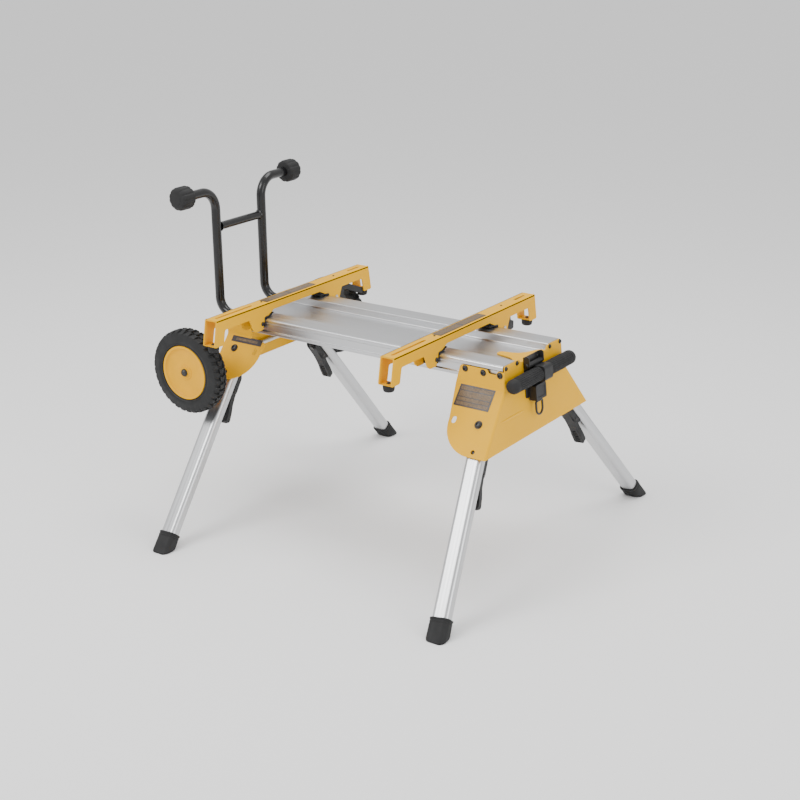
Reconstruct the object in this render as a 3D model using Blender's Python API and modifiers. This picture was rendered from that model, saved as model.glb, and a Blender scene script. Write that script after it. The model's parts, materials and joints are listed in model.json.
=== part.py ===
"""Rolling stand for a mitre saw: an aluminium beam on four folding legs.

One end has two wheels and a bent-tube bumper, on which the folded stand also
stands upright. The other end has a swing-out handle. Two steel rails slide
along the beam and carry the saw.

Metres, +Z up. X runs along the beam, from the wheels to the handle, and the
stand is symmetric about the plane Y = 0. "near" is the -Y side.
"""

import math

import bmesh
import bpy
from mathutils import Matrix, Vector

# Joints between touching pieces keep this gap.
GAP = 0.0003
SHEET = 0.003

# Beam: an extrusion with a raised hollow track along each side of a web.
BEAM_LEFT = -0.4030
BEAM_RIGHT = 0.4224
BEAM_TOP = 0.5244
BEAM_DEPTH = 0.0414
BEAM_HALF_WIDTH = 0.1327
TRACK_INNER = 0.0762
TRACK_WALL = 0.0016
WEB_TOP = BEAM_TOP - 0.020
WEB_THICKNESS = 0.0032

# Both end brackets: side plates that hang down from the beam's sides and
# splay outwards, in the planes that the legs fold in.
SPLAY = math.radians(39.0)
FLOOR_HALF_WIDTH = 0.4849
PLATE_OFFSET = 0.0225
LOCK_RADIUS = 0.067
RIGHT_END = 0.4266
RIGHT_LEAN = 0.10
LEFT_END = -0.4065

# Leg pivots: (x, height); the left ones are higher, so that folded legs nest.
RIGHT_PIVOT = (0.3962, 0.3822)
LEFT_PIVOT = (-0.3650, 0.4250)
# How far each leg leans towards +X, measured in its own plane.
RIGHT_LEG_LEAN = math.radians(9.2)
LEFT_LEG_LEAN = math.radians(2.3)
LEG_WIDTH = 0.043
LEG_DEPTH = 0.030
LEG_WALL = 0.0018

# Wheels and axle.
WHEEL_X = -0.3960
WHEEL_Z = 0.4105
WHEEL_Y = 0.2947
TYRE_RADIUS = 0.1066
TYRE_WIDTH = 0.0485
HUB_RADIUS = 0.0697
AXLE_RADIUS = 0.006

# Bumper posts.
POST_X = -0.4656
POST_Y = 0.0905
POST_RADIUS = 0.0120
POST_FOOT_Z = 0.5032
POST_TOP_Z = 0.8273
POST_INNER_END = -0.3300
CROSSBAR_Z = 0.7300
CROSSBAR_RADIUS = 0.0105
KNOB_INNER = 0.1890
KNOB_OUTER = 0.2355
KNOB_RADIUS = 0.0295

# Saw rails: the middle of each in X.
RIGHT_RAIL_X = 0.2289
LEFT_RAIL_X = -0.2987
RAIL_WIDTH = 0.038
RAIL_TOP = 0.5631
RAIL_HALF_LENGTH = 0.3148
RAIL_FLANGE = 0.0289
RAIL_ARCH = 0.0216
DROP_HEIGHT = 0.0665
DROP_FLARE = 0.0120
CLAW_BOTTOM = 0.4970
CLAW_INNER = 0.1338

# Handle.
HANDLE_Z = 0.5045
HANDLE_MID = -0.0150
GRIP_MID = -0.0040
GRIP_DROP = 0.0245
GRIP_OUT = 0.0225
GRIP_RADIUS = 0.0175
GRIP_HALF_LENGTH = 0.1410

SIN = math.sin(SPLAY)
COS = math.cos(SPLAY)
TAN = math.tan(SPLAY)

# (base colour, roughness, metallic)
FINISHES = {
    "yellow_paint": ((0.83, 0.48, 0.03), 0.38, 0.0),
    "hub_plastic": ((0.80, 0.46, 0.03), 0.33, 0.0),
    "aluminium": ((0.62, 0.63, 0.64), 0.36, 1.0),
    "leg_aluminium": ((0.56, 0.57, 0.58), 0.42, 1.0),
    "black_tube": ((0.015, 0.015, 0.016), 0.32, 0.0),
    "zinc_steel": ((0.50, 0.50, 0.48), 0.35, 1.0),
    "rubber": ((0.018, 0.018, 0.018), 0.80, 0.0),
    "tyre_rubber": ((0.014, 0.014, 0.015), 0.85, 0.0),
    "black_plastic": ((0.020, 0.020, 0.022), 0.50, 0.0),
    "black_steel": ((0.022, 0.022, 0.022), 0.40, 0.0),
}


def clear_scene():
    for obj in list(bpy.data.objects):
        bpy.data.objects.remove(obj, do_unlink=True)


def make_collection(name):
    found = bpy.data.collections.new(name)
    bpy.context.scene.collection.children.link(found)
    return found


def make_material(slot):
    color, roughness, metallic = FINISHES[slot]
    found = bpy.data.materials.get(slot)
    if found:
        return found
    made = bpy.data.materials.new(slot)
    made.use_nodes = True
    shader = made.node_tree.nodes["Principled BSDF"]
    shader.inputs["Base Color"].default_value = (*color, 1.0)
    shader.inputs["Roughness"].default_value = roughness
    shader.inputs["Metallic"].default_value = metallic
    made.diffuse_color = (*color, 1.0)
    return made


# ---------------------------------------------------------------- outlines


def arc(centre, radius, start, end, steps):
    """Points on an arc from start to end, in degrees, both ends included."""
    angles = [math.radians(start + (end - start) * i / steps) for i in range(steps + 1)]
    return [(centre[0] + radius * math.cos(a), centre[1] + radius * math.sin(a)) for a in angles]


def rounded_box(width, height, radius, steps=4):
    """Outline of a rectangle with rounded corners, centred on the origin."""
    w, h = width / 2 - radius, height / 2 - radius
    return (
        arc((w, h), radius, 0, 90, steps)
        + arc((-w, h), radius, 90, 180, steps)
        + arc((-w, -h), radius, 180, 270, steps)
        + arc((w, -h), radius, 270, 360, steps)
    )


def slot_outline(length, width, steps=5):
    """Outline of a slot with round ends, along the first axis."""
    reach, radius = (length - width) / 2, width / 2
    return arc((reach, 0), radius, -90, 90, steps) + arc((-reach, 0), radius, 90, 270, steps)


# ---------------------------------------------------------- solids, as meshes


def new_object(name, mesh, slot=None):
    obj = bpy.data.objects.new(name, mesh)
    bpy.context.scene.collection.objects.link(obj)
    if slot:
        mesh.materials.append(make_material(slot))
    return obj


def mesh_from(bm, name, smooth_angle=35):
    bmesh.ops.recalc_face_normals(bm, faces=bm.faces)
    bmesh.ops.triangulate(bm, faces=[f for f in bm.faces if len(f.verts) > 4])
    mesh = bpy.data.meshes.new(name)
    bm.to_mesh(mesh)
    bm.free()
    mesh.shade_smooth()
    mesh.set_sharp_from_angle(angle=math.radians(smooth_angle))
    return mesh


def prism(name, outline, low, high, slot=None, place=None):
    """An outline in X and Y, extruded along Z from low to high, then placed by a matrix."""
    bm = bmesh.new()
    face = bm.faces.new([bm.verts.new((x, y, low)) for x, y in outline])
    raised = bmesh.ops.extrude_face_region(bm, geom=[face])["geom"]
    tops = [v for v in raised if isinstance(v, bmesh.types.BMVert)]
    bmesh.ops.translate(bm, verts=tops, vec=(0, 0, high - low))
    if place:
        bm.transform(place)
    return new_object(name, mesh_from(bm, name), slot)


def box(name, low, high, slot=None):
    """A box between two corners, from the cube primitive."""
    bm = bmesh.new()
    bmesh.ops.create_cube(bm, size=1.0)
    middle = [(a + b) / 2 for a, b in zip(low, high)]
    size = [b - a for a, b in zip(low, high)]
    bmesh.ops.scale(bm, verts=bm.verts, vec=size)
    bmesh.ops.translate(bm, verts=bm.verts, vec=middle)
    return new_object(name, mesh_from(bm, name), slot)


def cylinder(name, start, end, radius, slot=None, segments=24):
    """A cylinder between two points."""
    start, end = Vector(start), Vector(end)
    along = end - start
    bm = bmesh.new()
    bmesh.ops.create_cone(
        bm, cap_ends=True, segments=segments, radius1=radius, radius2=radius, depth=along.length
    )
    turn = Vector((0, 0, 1)).rotation_difference(along).to_matrix().to_4x4()
    bm.transform(Matrix.Translation((start + end) / 2) @ turn)
    return new_object(name, mesh_from(bm, name), slot)


def turned(name, profile, slot=None, place=None, steps=24):
    """A profile of (radius, height) points turned about Z with a Screw modifier.

    The profile starts and ends on its own first point or on the axis, and runs
    down its outer side.
    """
    mesh = bpy.data.meshes.new(name)
    closed = profile[0][0] > 0 and profile[-1][0] > 0
    count = len(profile)
    edges = [(i, (i + 1) % count) for i in range(count if closed else count - 1)]
    mesh.from_pydata([(r, 0, h) for r, h in profile], edges, [])
    obj = new_object(name, mesh, slot)
    screw = obj.modifiers.new("turn", "SCREW")
    screw.steps = steps
    screw.render_steps = steps
    screw.use_merge_vertices = True
    screw.merge_threshold = 0.00001
    screw.use_smooth_shade = True
    bake(obj)
    if place:
        obj.data.transform(place)
    return obj


def tube(name, points, radius, slot=None, sides=3, closed=False):
    """A round bar along a line of points, as a mesh with welded caps, or closed on itself."""
    curve = bpy.data.curves.new(name, "CURVE")
    curve.dimensions = "3D"
    curve.bevel_depth = radius
    curve.bevel_resolution = sides
    curve.use_fill_caps = True
    spline = curve.splines.new("POLY")
    spline.points.add(len(points) - 1)
    for spot, point in zip(spline.points, points):
        spot.co = (*point, 1.0)
    spline.use_cyclic_u = closed
    guide = new_object(name + "_path", curve)
    graph = bpy.context.evaluated_depsgraph_get()
    mesh = bpy.data.meshes.new_from_object(guide.evaluated_get(graph))
    bpy.data.objects.remove(guide)
    bm = bmesh.new()
    bm.from_mesh(mesh)
    bmesh.ops.remove_doubles(bm, verts=bm.verts, dist=0.00001)
    return new_object(name, mesh_from(bm, name), slot)


def bake(obj):
    """Replaces the object's mesh with what its modifiers make of it."""
    graph = bpy.context.evaluated_depsgraph_get()
    mesh = bpy.data.meshes.new_from_object(obj.evaluated_get(graph))
    obj.modifiers.clear()
    obj.data = mesh


def combine(obj, others, operation):
    """Cuts the others from the object, or joins them to it, and uses them up."""
    for other in others:
        modifier = obj.modifiers.new(operation.lower(), "BOOLEAN")
        modifier.operation = operation
        modifier.solver = "EXACT"
        modifier.object = other
        bake(obj)
        bpy.data.objects.remove(other)
    obj.data.shade_smooth()
    obj.data.set_sharp_from_angle(angle=math.radians(35))
    return obj


def cut(obj, *others):
    return combine(obj, others, "DIFFERENCE")


def join(obj, *others):
    return combine(obj, others, "UNION")


def mirrored(obj, name):
    """A copy on the other side of the plane Y = 0."""
    mesh = obj.data.copy()
    mesh.transform(Matrix.Diagonal((1, -1, 1, 1)))
    mesh.flip_normals()
    copy = bpy.data.objects.new(name, mesh)
    bpy.context.scene.collection.objects.link(copy)
    return copy


def pair(obj, base):
    """Names a near piece and makes its far twin."""
    obj.name = base + "_near"
    return obj, mirrored(obj, base + "_far")


# -------------------------------------------------------------- placements


def side_y(z, offset=PLATE_OFFSET):
    """How far out the splayed plane is at a height; offset is measured along its normal."""
    return FLOOR_HALF_WIDTH + offset / COS - TAN * z


def leg_frame(pivot, lean):
    """Matrix of a near leg: +X down the leg, +Z out through the side plate, origin at the pivot."""
    x, z = pivot
    down = Vector((0, -SIN, -COS))
    out = Vector((0, -COS, SIN))
    along = down * math.cos(lean) + Vector((1, 0, 0)) * math.sin(lean)
    across = out.cross(along)
    matrix = Matrix((along, across, out)).transposed().to_4x4()
    matrix.translation = Vector((x, -side_y(z, 0.0), z))
    return matrix


def leg_length(pivot, lean):
    """From the pivot to the floor, along the leg's centre line."""
    return pivot[1] / (COS * math.cos(lean))


# -------------------------------------------------------------------- beam


def beam_outline():
    """Cross-section in Y and Z, one half then its mirror image."""
    top, low, side = BEAM_TOP, BEAM_TOP - BEAM_DEPTH, BEAM_HALF_WIDTH
    right = [
        (TRACK_INNER - 0.004, WEB_TOP),
        (TRACK_INNER, WEB_TOP + 0.004),
        (TRACK_INNER, top - 0.0015),
        (TRACK_INNER + 0.0015, top),
        *arc((side - 0.003, top - 0.003), 0.003, 90, 0, 3),
        (side, top - 0.0085),
        (side - 0.0030, top - 0.0110),
        (side - 0.0030, low + 0.0110),
        (side, low + 0.0085),
        (side, low + 0.0015),
        (side - 0.0015, low),
        (TRACK_INNER, low),
        (TRACK_INNER, WEB_TOP - WEB_THICKNESS),
    ]
    left = [(-y, z) for y, z in reversed(right)]
    return right + left


def make_beam():
    along_x = Matrix(((0, 0, 1, 0), (1, 0, 0, 0), (0, 1, 0, 0), (0, 0, 0, 1)))
    beam = prism("beam", beam_outline(), BEAM_LEFT, BEAM_RIGHT, "aluminium", along_x)
    low = BEAM_TOP - BEAM_DEPTH
    for side in (-1, 1):
        edges = sorted((side * (TRACK_INNER + TRACK_WALL), side * (BEAM_HALF_WIDTH - 0.0048)))
        hollow = box(
            "hollow",
            (BEAM_LEFT - 0.01, edges[0], low + 0.0022),
            (BEAM_RIGHT + 0.01, edges[1], BEAM_TOP - 0.0022),
        )
        cut(beam, hollow)
    place = Matrix.Translation((0.118, 0.0, 0.0))
    cut(beam, prism("slot", slot_outline(0.030, 0.0055), WEB_TOP - 0.02, WEB_TOP + 0.01, None, place))
    return beam


# ---------------------------------------------------------------- brackets


def sheet(name, points, inward):
    """A flat sheet-metal wall: its outer face, thickened by a vector that points inwards."""
    bm = bmesh.new()
    face = bm.faces.new([bm.verts.new(p) for p in points])
    raised = bmesh.ops.extrude_face_region(bm, geom=[face])["geom"]
    inner = [v for v in raised if isinstance(v, bmesh.types.BMVert)]
    bmesh.ops.translate(bm, verts=inner, vec=inward)
    return new_object(name, mesh_from(bm, name), "yellow_paint")


def end_x(end, lean, z):
    """X of an end plate's outer face at a height."""
    return end + math.copysign(lean, end) * (BEAM_TOP - z)


def on_plate(x, down, pivot):
    """A point of the near side plate's outer face, a distance down its slope from the pivot."""
    z = pivot[1] + PLATE_OFFSET * SIN - down * COS
    return (x, -side_y(z), z)


def plate_holes(pivot, lean):
    """Cutters for a near side plate: pivot hole, lock hole and folded-position slot."""
    frame = leg_frame(pivot, lean)
    flat = leg_frame(pivot, 0.0)
    inboard = 1.0 if pivot[0] < 0 else -1.0
    low, high = PLATE_OFFSET - 0.008, PLATE_OFFSET + 0.006
    holes = [
        prism("hole", arc((0, 0), 0.0045, 4, 349, 23), low, high, None, frame),
        prism("hole", arc((LOCK_RADIUS, 0), 0.0048, 4, 349, 23), low, high, None, frame),
    ]
    stowed = Matrix.Translation((0, LOCK_RADIUS * inboard, 0))
    holes.append(prism("hole", slot_outline(0.018, 0.012), low, high, None, flat @ stowed))
    return holes


def bracket_shell(name, end, lean, pivot, arc_radius, strip_reach, plate_reach, leg_lean):
    """An end bracket of folded sheet: an end plate, two strips and two splayed side plates."""
    inboard = -math.copysign(1.0, end)
    wall = BEAM_HALF_WIDTH + GAP + SHEET
    knee = (FLOOR_HALF_WIDTH + PLATE_OFFSET / COS - wall) / TAN
    knee_down = (pivot[1] + PLATE_OFFSET * SIN - knee) / COS
    lap = SHEET * math.tan(SPLAY / 2)
    strip_top = BEAM_TOP - 0.0130
    bottom = on_plate(0, arc_radius, pivot)[2]
    strip_x = pivot[0] + inboard * strip_reach
    # Each wall's edge stops a hair inside its neighbour's sheet, so that no two faces coincide.
    hair = 0.0001
    strip_end, plate_end = end + inboard * hair, end + inboard * 2 * hair
    strip = [
        (end_x(strip_end, lean, strip_top), -wall, strip_top),
        (end_x(strip_end, lean, knee), -wall, knee - lap),
        (strip_x, -wall, knee - lap),
        (strip_x, -wall, strip_top),
    ]
    rim = arc((0, 0), arc_radius, 0, 90, 8)
    plate = [
        on_plate(end_x(plate_end, lean, knee), knee_down - lap, pivot),
        on_plate(end_x(plate_end, lean, bottom), arc_radius, pivot),
        *reversed([on_plate(pivot[0] + inboard * i, down, pivot) for i, down in rim]),
        on_plate(pivot[0] + inboard * plate_reach, knee_down - lap, pivot),
    ]
    inside = wall - hair
    edge = [(side_y(bottom) - hair, bottom + hair), (inside, knee), (inside, BEAM_TOP)]
    edge += [(0.066, BEAM_TOP), (0.058, WEB_TOP + 0.0035)]
    edge += [(-y, z) for y, z in reversed(edge)]
    shell = sheet(name, [(end_x(end, lean, z), y, z) for y, z in edge], (inboard * SHEET, 0, 0))
    near_strip = sheet("strip", strip, (0, SHEET, 0))
    near_plate = sheet("plate", plate, (0, SHEET * COS, -SHEET * SIN))
    cut(near_plate, *plate_holes(pivot, leg_lean))
    walls = [near_strip, mirrored(near_strip, "strip"), near_plate, mirrored(near_plate, "plate")]
    return join(shell, *walls)


def make_right_bracket():
    shape = RIGHT_PIVOT, 0.080, 0.100, 0.096, RIGHT_LEG_LEAN
    return bracket_shell("right_bracket", RIGHT_END, RIGHT_LEAN, *shape)


def make_left_bracket():
    shape = LEFT_PIVOT, 0.086, 0.040, 0.090, LEFT_LEG_LEAN
    bracket = bracket_shell("left_bracket", LEFT_END, 0.0, *shape)
    reach = 0.30
    cut(
        bracket,
        cylinder("bore", (WHEEL_X, -reach, WHEEL_Z), (WHEEL_X, reach, WHEEL_Z), AXLE_RADIUS + GAP),
    )
    for y in (-POST_Y, POST_Y):
        ends = (LEFT_END - 0.02, y, POST_FOOT_Z), (LEFT_END + 0.02, y, POST_FOOT_Z)
        cut(bracket, cylinder("bore", *ends, POST_RADIUS + 2 * GAP))
    return bracket


def make_gusset():
    """The tapering tongue that ties the right end plate to the beam's web."""
    tip, root = 0.3280, BEAM_RIGHT
    half = [
        (root, 0.0640),
        (root - 0.014, 0.0630),
        (root - 0.026, 0.0480),
        (root - 0.040, 0.0300),
        (root - 0.060, 0.0170),
        (tip + 0.010, 0.0125),
        *arc((tip + 0.006, 0.0), 0.0085, 60, 180, 3),
    ]
    outline = half + [(x, -y) for x, y in reversed(half[:-1])]
    return prism("right_gusset", outline, WEB_TOP + GAP, WEB_TOP + GAP + SHEET, "yellow_paint")


# ------------------------------------------------------------------ bumper


def bend(centre, radius, start, end, steps, first, second):
    """Points on an arc in the plane of two directions."""
    flat = arc((0, 0), radius, start, end, steps)
    return [centre + first * u + second * v for u, v in flat]


def make_post():
    """A tube from inside the beam's track, up beside the beam's end and out to its knob."""
    x, y, z = Vector((1, 0, 0)), Vector((0, 1, 0)), Vector((0, 0, 1))
    low_bend, high_bend = 0.040, 0.050
    path = [Vector((POST_INNER_END, -POST_Y, POST_FOOT_Z))]
    centre = Vector((POST_X + low_bend, -POST_Y, POST_FOOT_Z + low_bend))
    path += bend(centre, low_bend, 270, 180, 8, x, z)
    centre = Vector((POST_X, -POST_Y - high_bend, POST_TOP_Z - high_bend))
    path += bend(centre, high_bend, 0, 90, 8, y, z)
    path.append(Vector((POST_X, -KNOB_OUTER + 0.012, POST_TOP_Z)))
    return tube("post", path, POST_RADIUS, "black_tube")


def make_knob():
    """A rounded rubber knob with a blind socket for the tube."""
    end, inner = KNOB_OUTER, KNOB_INNER
    socket = POST_RADIUS + GAP
    round_over = 0.011
    profile = [(0, end), (0.010, end)]
    profile += arc((KNOB_RADIUS - round_over, end - round_over), round_over, 80, 0, 4)
    profile += arc((KNOB_RADIUS - 0.008, inner + 0.008), 0.008, 0, -80, 3)
    profile += [(socket, inner), (socket, end - 0.0115), (0, end - 0.0115)]
    place = Matrix.Translation((POST_X, 0, POST_TOP_Z)) @ Matrix.Rotation(math.radians(90), 4, "X")
    return turned("knob", profile, "rubber", place)


def make_bumper():
    pair(make_post(), "bumper_post")
    pair(make_knob(), "bumper_knob")
    reach = POST_Y - POST_RADIUS - GAP
    ends = (POST_X, -reach, CROSSBAR_Z), (POST_X, reach, CROSSBAR_Z)
    cylinder("bumper_crossbar", *ends, CROSSBAR_RADIUS, "black_tube")


# -------------------------------------------------------------------- legs


def make_leg_tube(frame, length):
    """A rectangular tube with rounded edges, bored for its pivot bolt and its lock pin."""
    top, bottom = -0.0165, length - 0.0260
    bm = bmesh.new()
    outline = rounded_box(LEG_WIDTH, LEG_DEPTH, 0.011, 3)
    rings = [[bm.verts.new((x, u, v)) for u, v in outline] for x in (top, bottom)]
    count = len(outline)
    for i in range(count):
        j = (i + 1) % count
        bm.faces.new((rings[0][i], rings[0][j], rings[1][j], rings[1][i]))
    tube_object = new_object("tube", mesh_from(bm, "tube"), "leg_aluminium")
    solidify = tube_object.modifiers.new("wall", "SOLIDIFY")
    solidify.thickness = LEG_WALL
    solidify.offset = -1.0
    solidify.use_even_offset = True
    bake(tube_object)
    for x, radius in ((0.0, 0.0045), (LOCK_RADIUS, 0.0045)):
        cut(tube_object, cylinder("bore", (x, 0, -0.05), (x, 0, 0.05), radius, None, 12))
    tube_object.data.transform(frame)
    return tube_object


def make_leg_foot(frame, length):
    """A rubber boot over the tube's end, cut level with the floor."""
    tube_end = length - 0.0260
    outline = rounded_box(LEG_WIDTH + 0.008, LEG_DEPTH + 0.008, 0.014, 4)
    across_x = Matrix(((0, 0, 1, 0), (1, 0, 0, 0), (0, 1, 0, 0), (0, 0, 0, 1)))
    foot = prism("foot", outline, tube_end - 0.032, length + 0.060, "rubber", across_x)
    inner = rounded_box(LEG_WIDTH + 2 * GAP, LEG_DEPTH + 2 * GAP, 0.011 + GAP, 3)
    socket = prism("socket", inner, tube_end - 0.040, tube_end + GAP, None, across_x)
    cut(foot, socket)
    foot.data.transform(frame)
    bm = bmesh.new()
    bm.from_mesh(foot.data)
    everything = bm.verts[:] + bm.edges[:] + bm.faces[:]
    sliced = bmesh.ops.bisect_plane(
        bm, geom=everything, plane_co=(0, 0, 0), plane_no=(0, 0, 1), clear_inner=True
    )
    rim = [e for e in sliced["geom_cut"] if isinstance(e, bmesh.types.BMEdge)]
    bmesh.ops.contextual_create(bm, geom=rim)
    foot.data = mesh_from(bm, "foot")
    foot.data.materials.append(make_material("rubber"))
    return foot


def make_pivot_bolt(frame):
    """Bolt, spacer and nut through the side plate and the leg, turned as one."""
    shank, outer, leg = 0.0040, PLATE_OFFSET, LEG_DEPTH / 2
    sheet_in = outer - SHEET
    profile = [
        (0, outer + 0.0062),
        (0.0050, outer + 0.0058),
        (0.0085, outer + 0.0030),
        (0.0085, outer + GAP),
        (shank, outer + GAP),
        (shank, sheet_in - GAP),
        (0.0090, sheet_in - GAP),
        (0.0090, leg + GAP),
        (shank, leg + GAP),
        (shank, -leg - GAP),
        (0.0078, -leg - GAP),
        (0.0078, -leg - 0.0065),
        (0.0042, -leg - 0.0080),
        (0, -leg - 0.0080),
    ]
    return turned("pivot_bolt", profile, "black_steel", frame, 14)


LEVER_PIVOT = (0.1050, -0.0240)
LEVER_TIP = 0.1860
LEVER_STAND_OFF = math.radians(12.0)


def make_lock_pin(frame):
    """Spring pin through the leg; its head sits behind the release lever's fork."""
    x = LOCK_RADIUS
    lever_back = LEVER_PIVOT[1] - 0.0035
    profile = [
        (0, PLATE_OFFSET - SHEET - GAP),
        (0.0032, PLATE_OFFSET - SHEET - GAP),
        (0.0041, PLATE_OFFSET - SHEET - 0.0012),
        (0.0041, lever_back - 0.0022),
        (0.0068, lever_back - 0.0022),
        (0.0068, lever_back - 0.0050),
        (0, lever_back - 0.0050),
    ]
    place = frame @ Matrix.Translation((x, 0, 0))
    return turned("lock_pin", profile, "zinc_steel", place, 14)


def make_release_lever(frame):
    """A rocker on the leg's inner face: a fork at the pin and a paddle to squeeze."""
    px, pz = LEVER_PIVOT
    half_fork = 0.0035
    reach = LEVER_TIP - px
    drop = reach * math.sin(LEVER_STAND_OFF)
    tip = px + reach * math.cos(LEVER_STAND_OFF)
    side = [
        (LOCK_RADIUS - 0.0110, pz + half_fork),
        (px - 0.0080, pz + half_fork),
        (px + 0.0060, pz + 0.0045),
        (tip - 0.0050, pz - drop + 0.0045),
        (tip, pz - drop),
        (tip - 0.0060, pz - drop - 0.0055),
        (px + 0.0080, pz - 0.0085),
        (px - 0.0100, pz - half_fork - 0.0020),
        (px - 0.0230, pz - half_fork),
        (LOCK_RADIUS - 0.0110, pz - half_fork),
    ]
    # The side view lies in X and Z of the leg's frame, and is extruded across the leg.
    stand = Matrix(((1, 0, 0, 0), (0, 0, -1, 0), (0, 1, 0, 0), (0, 0, 0, 1)))
    lever = prism("lever", side, -0.0130, 0.0130, "black_plastic", stand)
    plan = [
        (LOCK_RADIUS - 0.0120, 0.0105),
        (px - 0.0120, 0.0105),
        (px + 0.0060, 0.0120),
        (px + 0.0300, 0.0085),
        (px + 0.0500, 0.0100),
        *arc((tip - 0.0105, 0.0), 0.0115, 60, 0, 4),
    ]
    plan = plan + [(x, -y) for x, y in reversed(plan[:-1])]
    keep = prism("keep", plan, -0.08, 0.02)
    combine(lever, [keep], "INTERSECT")
    fork = Matrix.Translation((LOCK_RADIUS, 0, 0))
    cut(lever, prism("slot", slot_outline(0.0120, 0.0094), -0.05, 0.0, None, fork))
    cut(lever, cylinder("bore", (px, -0.02, pz), (px, 0.02, pz), 0.0028, None, 10))
    lever.data.transform(frame)
    return lever


def make_lever_mount(frame):
    """Two lugs on the leg's inner face with the pin that the release lever rocks on."""
    px, pz = LEVER_PIVOT
    face = -LEG_DEPTH / 2 - GAP
    lugs = []
    for side in (-1, 1):
        edges = sorted((side * 0.0133, side * 0.0155))
        outline = [(px - 0.011, face), (px + 0.011, face), (px + 0.005, pz - 0.0050), (px - 0.005, pz - 0.0050)]
        stand = Matrix(((1, 0, 0, 0), (0, 0, -1, 0), (0, 1, 0, 0), (0, 0, 0, 1)))
        lugs.append(prism("lug", outline, -edges[1], -edges[0], "black_plastic", stand))
    base = box("base", (px - 0.011, -0.0155, face - 0.0015), (px + 0.011, 0.0155, face))
    pin = cylinder("pin", (px, -0.0160, pz), (px, 0.0160, pz), 0.0025, None, 10)
    mount = join(lugs[0], lugs[1], base, pin)
    mount.data.transform(frame)
    return mount


def make_legs():
    for end, pivot, lean in (
        ("right", RIGHT_PIVOT, RIGHT_LEG_LEAN),
        ("left", LEFT_PIVOT, LEFT_LEG_LEAN),
    ):
        frame, length = leg_frame(pivot, lean), leg_length(pivot, lean)
        pair(make_leg_tube(frame, length), f"{end}_leg_tube")
        pair(make_leg_foot(frame, length), f"{end}_leg_foot")
        pair(make_pivot_bolt(frame), f"{end}_leg_pivot_bolt")
        pair(make_lock_pin(frame), f"{end}_leg_lock_pin")
        pair(make_release_lever(frame), f"{end}_leg_release_lever")
        pair(make_lever_mount(frame), f"{end}_leg_lever_mount")


# ------------------------------------------------------------------ wheels


def wheel_place():
    """Wheel profiles are turned about Z, whose positive side becomes the near side."""
    return Matrix.Translation((WHEEL_X, 0, WHEEL_Z)) @ Matrix.Rotation(math.radians(90), 4, "X")


def make_tyre():
    half, r = TYRE_WIDTH / 2, TYRE_RADIUS
    bead = 0.0625 + GAP
    profile = [(bead, WHEEL_Y + half - 0.0060), (HUB_RADIUS + 0.0022, WHEEL_Y + half - 0.0020)]
    profile += [(HUB_RADIUS + 0.006, WHEEL_Y + half)]
    profile += arc((r - 0.016, WHEEL_Y + half - 0.016), 0.016, 80, 10, 3)
    profile += arc((r - 0.016, WHEEL_Y - half + 0.016), 0.016, -10, -80, 3)
    profile += [(HUB_RADIUS + 0.006, WHEEL_Y - half), (bead, WHEEL_Y - half + 0.0040)]
    return turned("tyre", profile, "tyre_rubber", wheel_place(), 36)


def make_hub():
    """A dished plastic wheel centre with a rim flange and a long boss."""
    face = WHEEL_Y + TYRE_WIDTH / 2
    back = WHEEL_Y - TYRE_WIDTH / 2
    bore = AXLE_RADIUS + GAP
    profile = [
        (bore, face - 0.0040),
        (0.0130, face - 0.0040),
        (0.0165, face - 0.0075),
        (0.0350, face - 0.0080),
        (0.0570, face - 0.0060),
        (0.0625, face - 0.0015),
        (HUB_RADIUS, face - 0.0016),
        (HUB_RADIUS, face - 0.0021 - GAP),
        (0.0625, face - 0.0050 - GAP),
        (0.0625, back + 0.0040),
        (0.0590, back + 0.0040),
        (0.0590, face - 0.0110),
        (0.0180, face - 0.0130),
        (0.0150, back - 0.0040),
        (bore, back - 0.0040),
    ]
    return turned("hub", profile, "hub_plastic", wheel_place(), 28)


def make_wheels():
    pair(make_tyre(), "wheel_tyre")
    pair(make_hub(), "wheel_hub")
    face = WHEEL_Y + TYRE_WIDTH / 2
    axle_end = face - 0.0020
    ends = (WHEEL_X, -axle_end, WHEEL_Z), (WHEEL_X, axle_end, WHEEL_Z)
    cylinder("axle", *ends, AXLE_RADIUS, "zinc_steel")
    low = face - 0.0040 + GAP
    profile = [
        (0, face + 0.0030),
        (0.0060, face + 0.0022),
        (0.0095, face - 0.0005),
        (0.0095, low),
        (AXLE_RADIUS + GAP, low),
        (AXLE_RADIUS + GAP, axle_end + GAP),
        (0, axle_end + GAP),
    ]
    pair(turned("cap", profile, "black_steel", wheel_place(), 18), "wheel_cap")


# ------------------------------------------------------------------- rails


def flange_outline():
    """A rail's side in Y and Z: a flange arched over the beam, flared end drops, and claws round the beam."""
    half, top = RAIL_HALF_LENGTH, RAIL_TOP
    low = top - RAIL_FLANGE
    drop = top - DROP_HEIGHT
    foot = half + DROP_FLARE
    near = [
        (-half, top),
        (-foot + 0.001, drop + 0.005),
        (-foot + 0.004, drop),
        (-0.2935, drop),
        (-0.2862, low - 0.005),
        (-0.2820, low),
        (-0.1935, low),
        (-0.1858, 0.5200),
        (-0.1815, 0.5075),
        (-0.1680, CLAW_BOTTOM),
        (-0.1450, CLAW_BOTTOM),
        (-0.1390, CLAW_BOTTOM + 0.005),
        (-CLAW_INNER - 0.0030, 0.5130),
        (-CLAW_INNER, 0.5190),
        (-CLAW_INNER, 0.5270),
        (-0.1290, 0.5292),
        (-0.1200, 0.5294),
        (-0.0984, 0.5345),
        (-0.0910, top - RAIL_ARCH),
    ]
    return near + [(-y, z) for y, z in reversed(near)]


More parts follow.
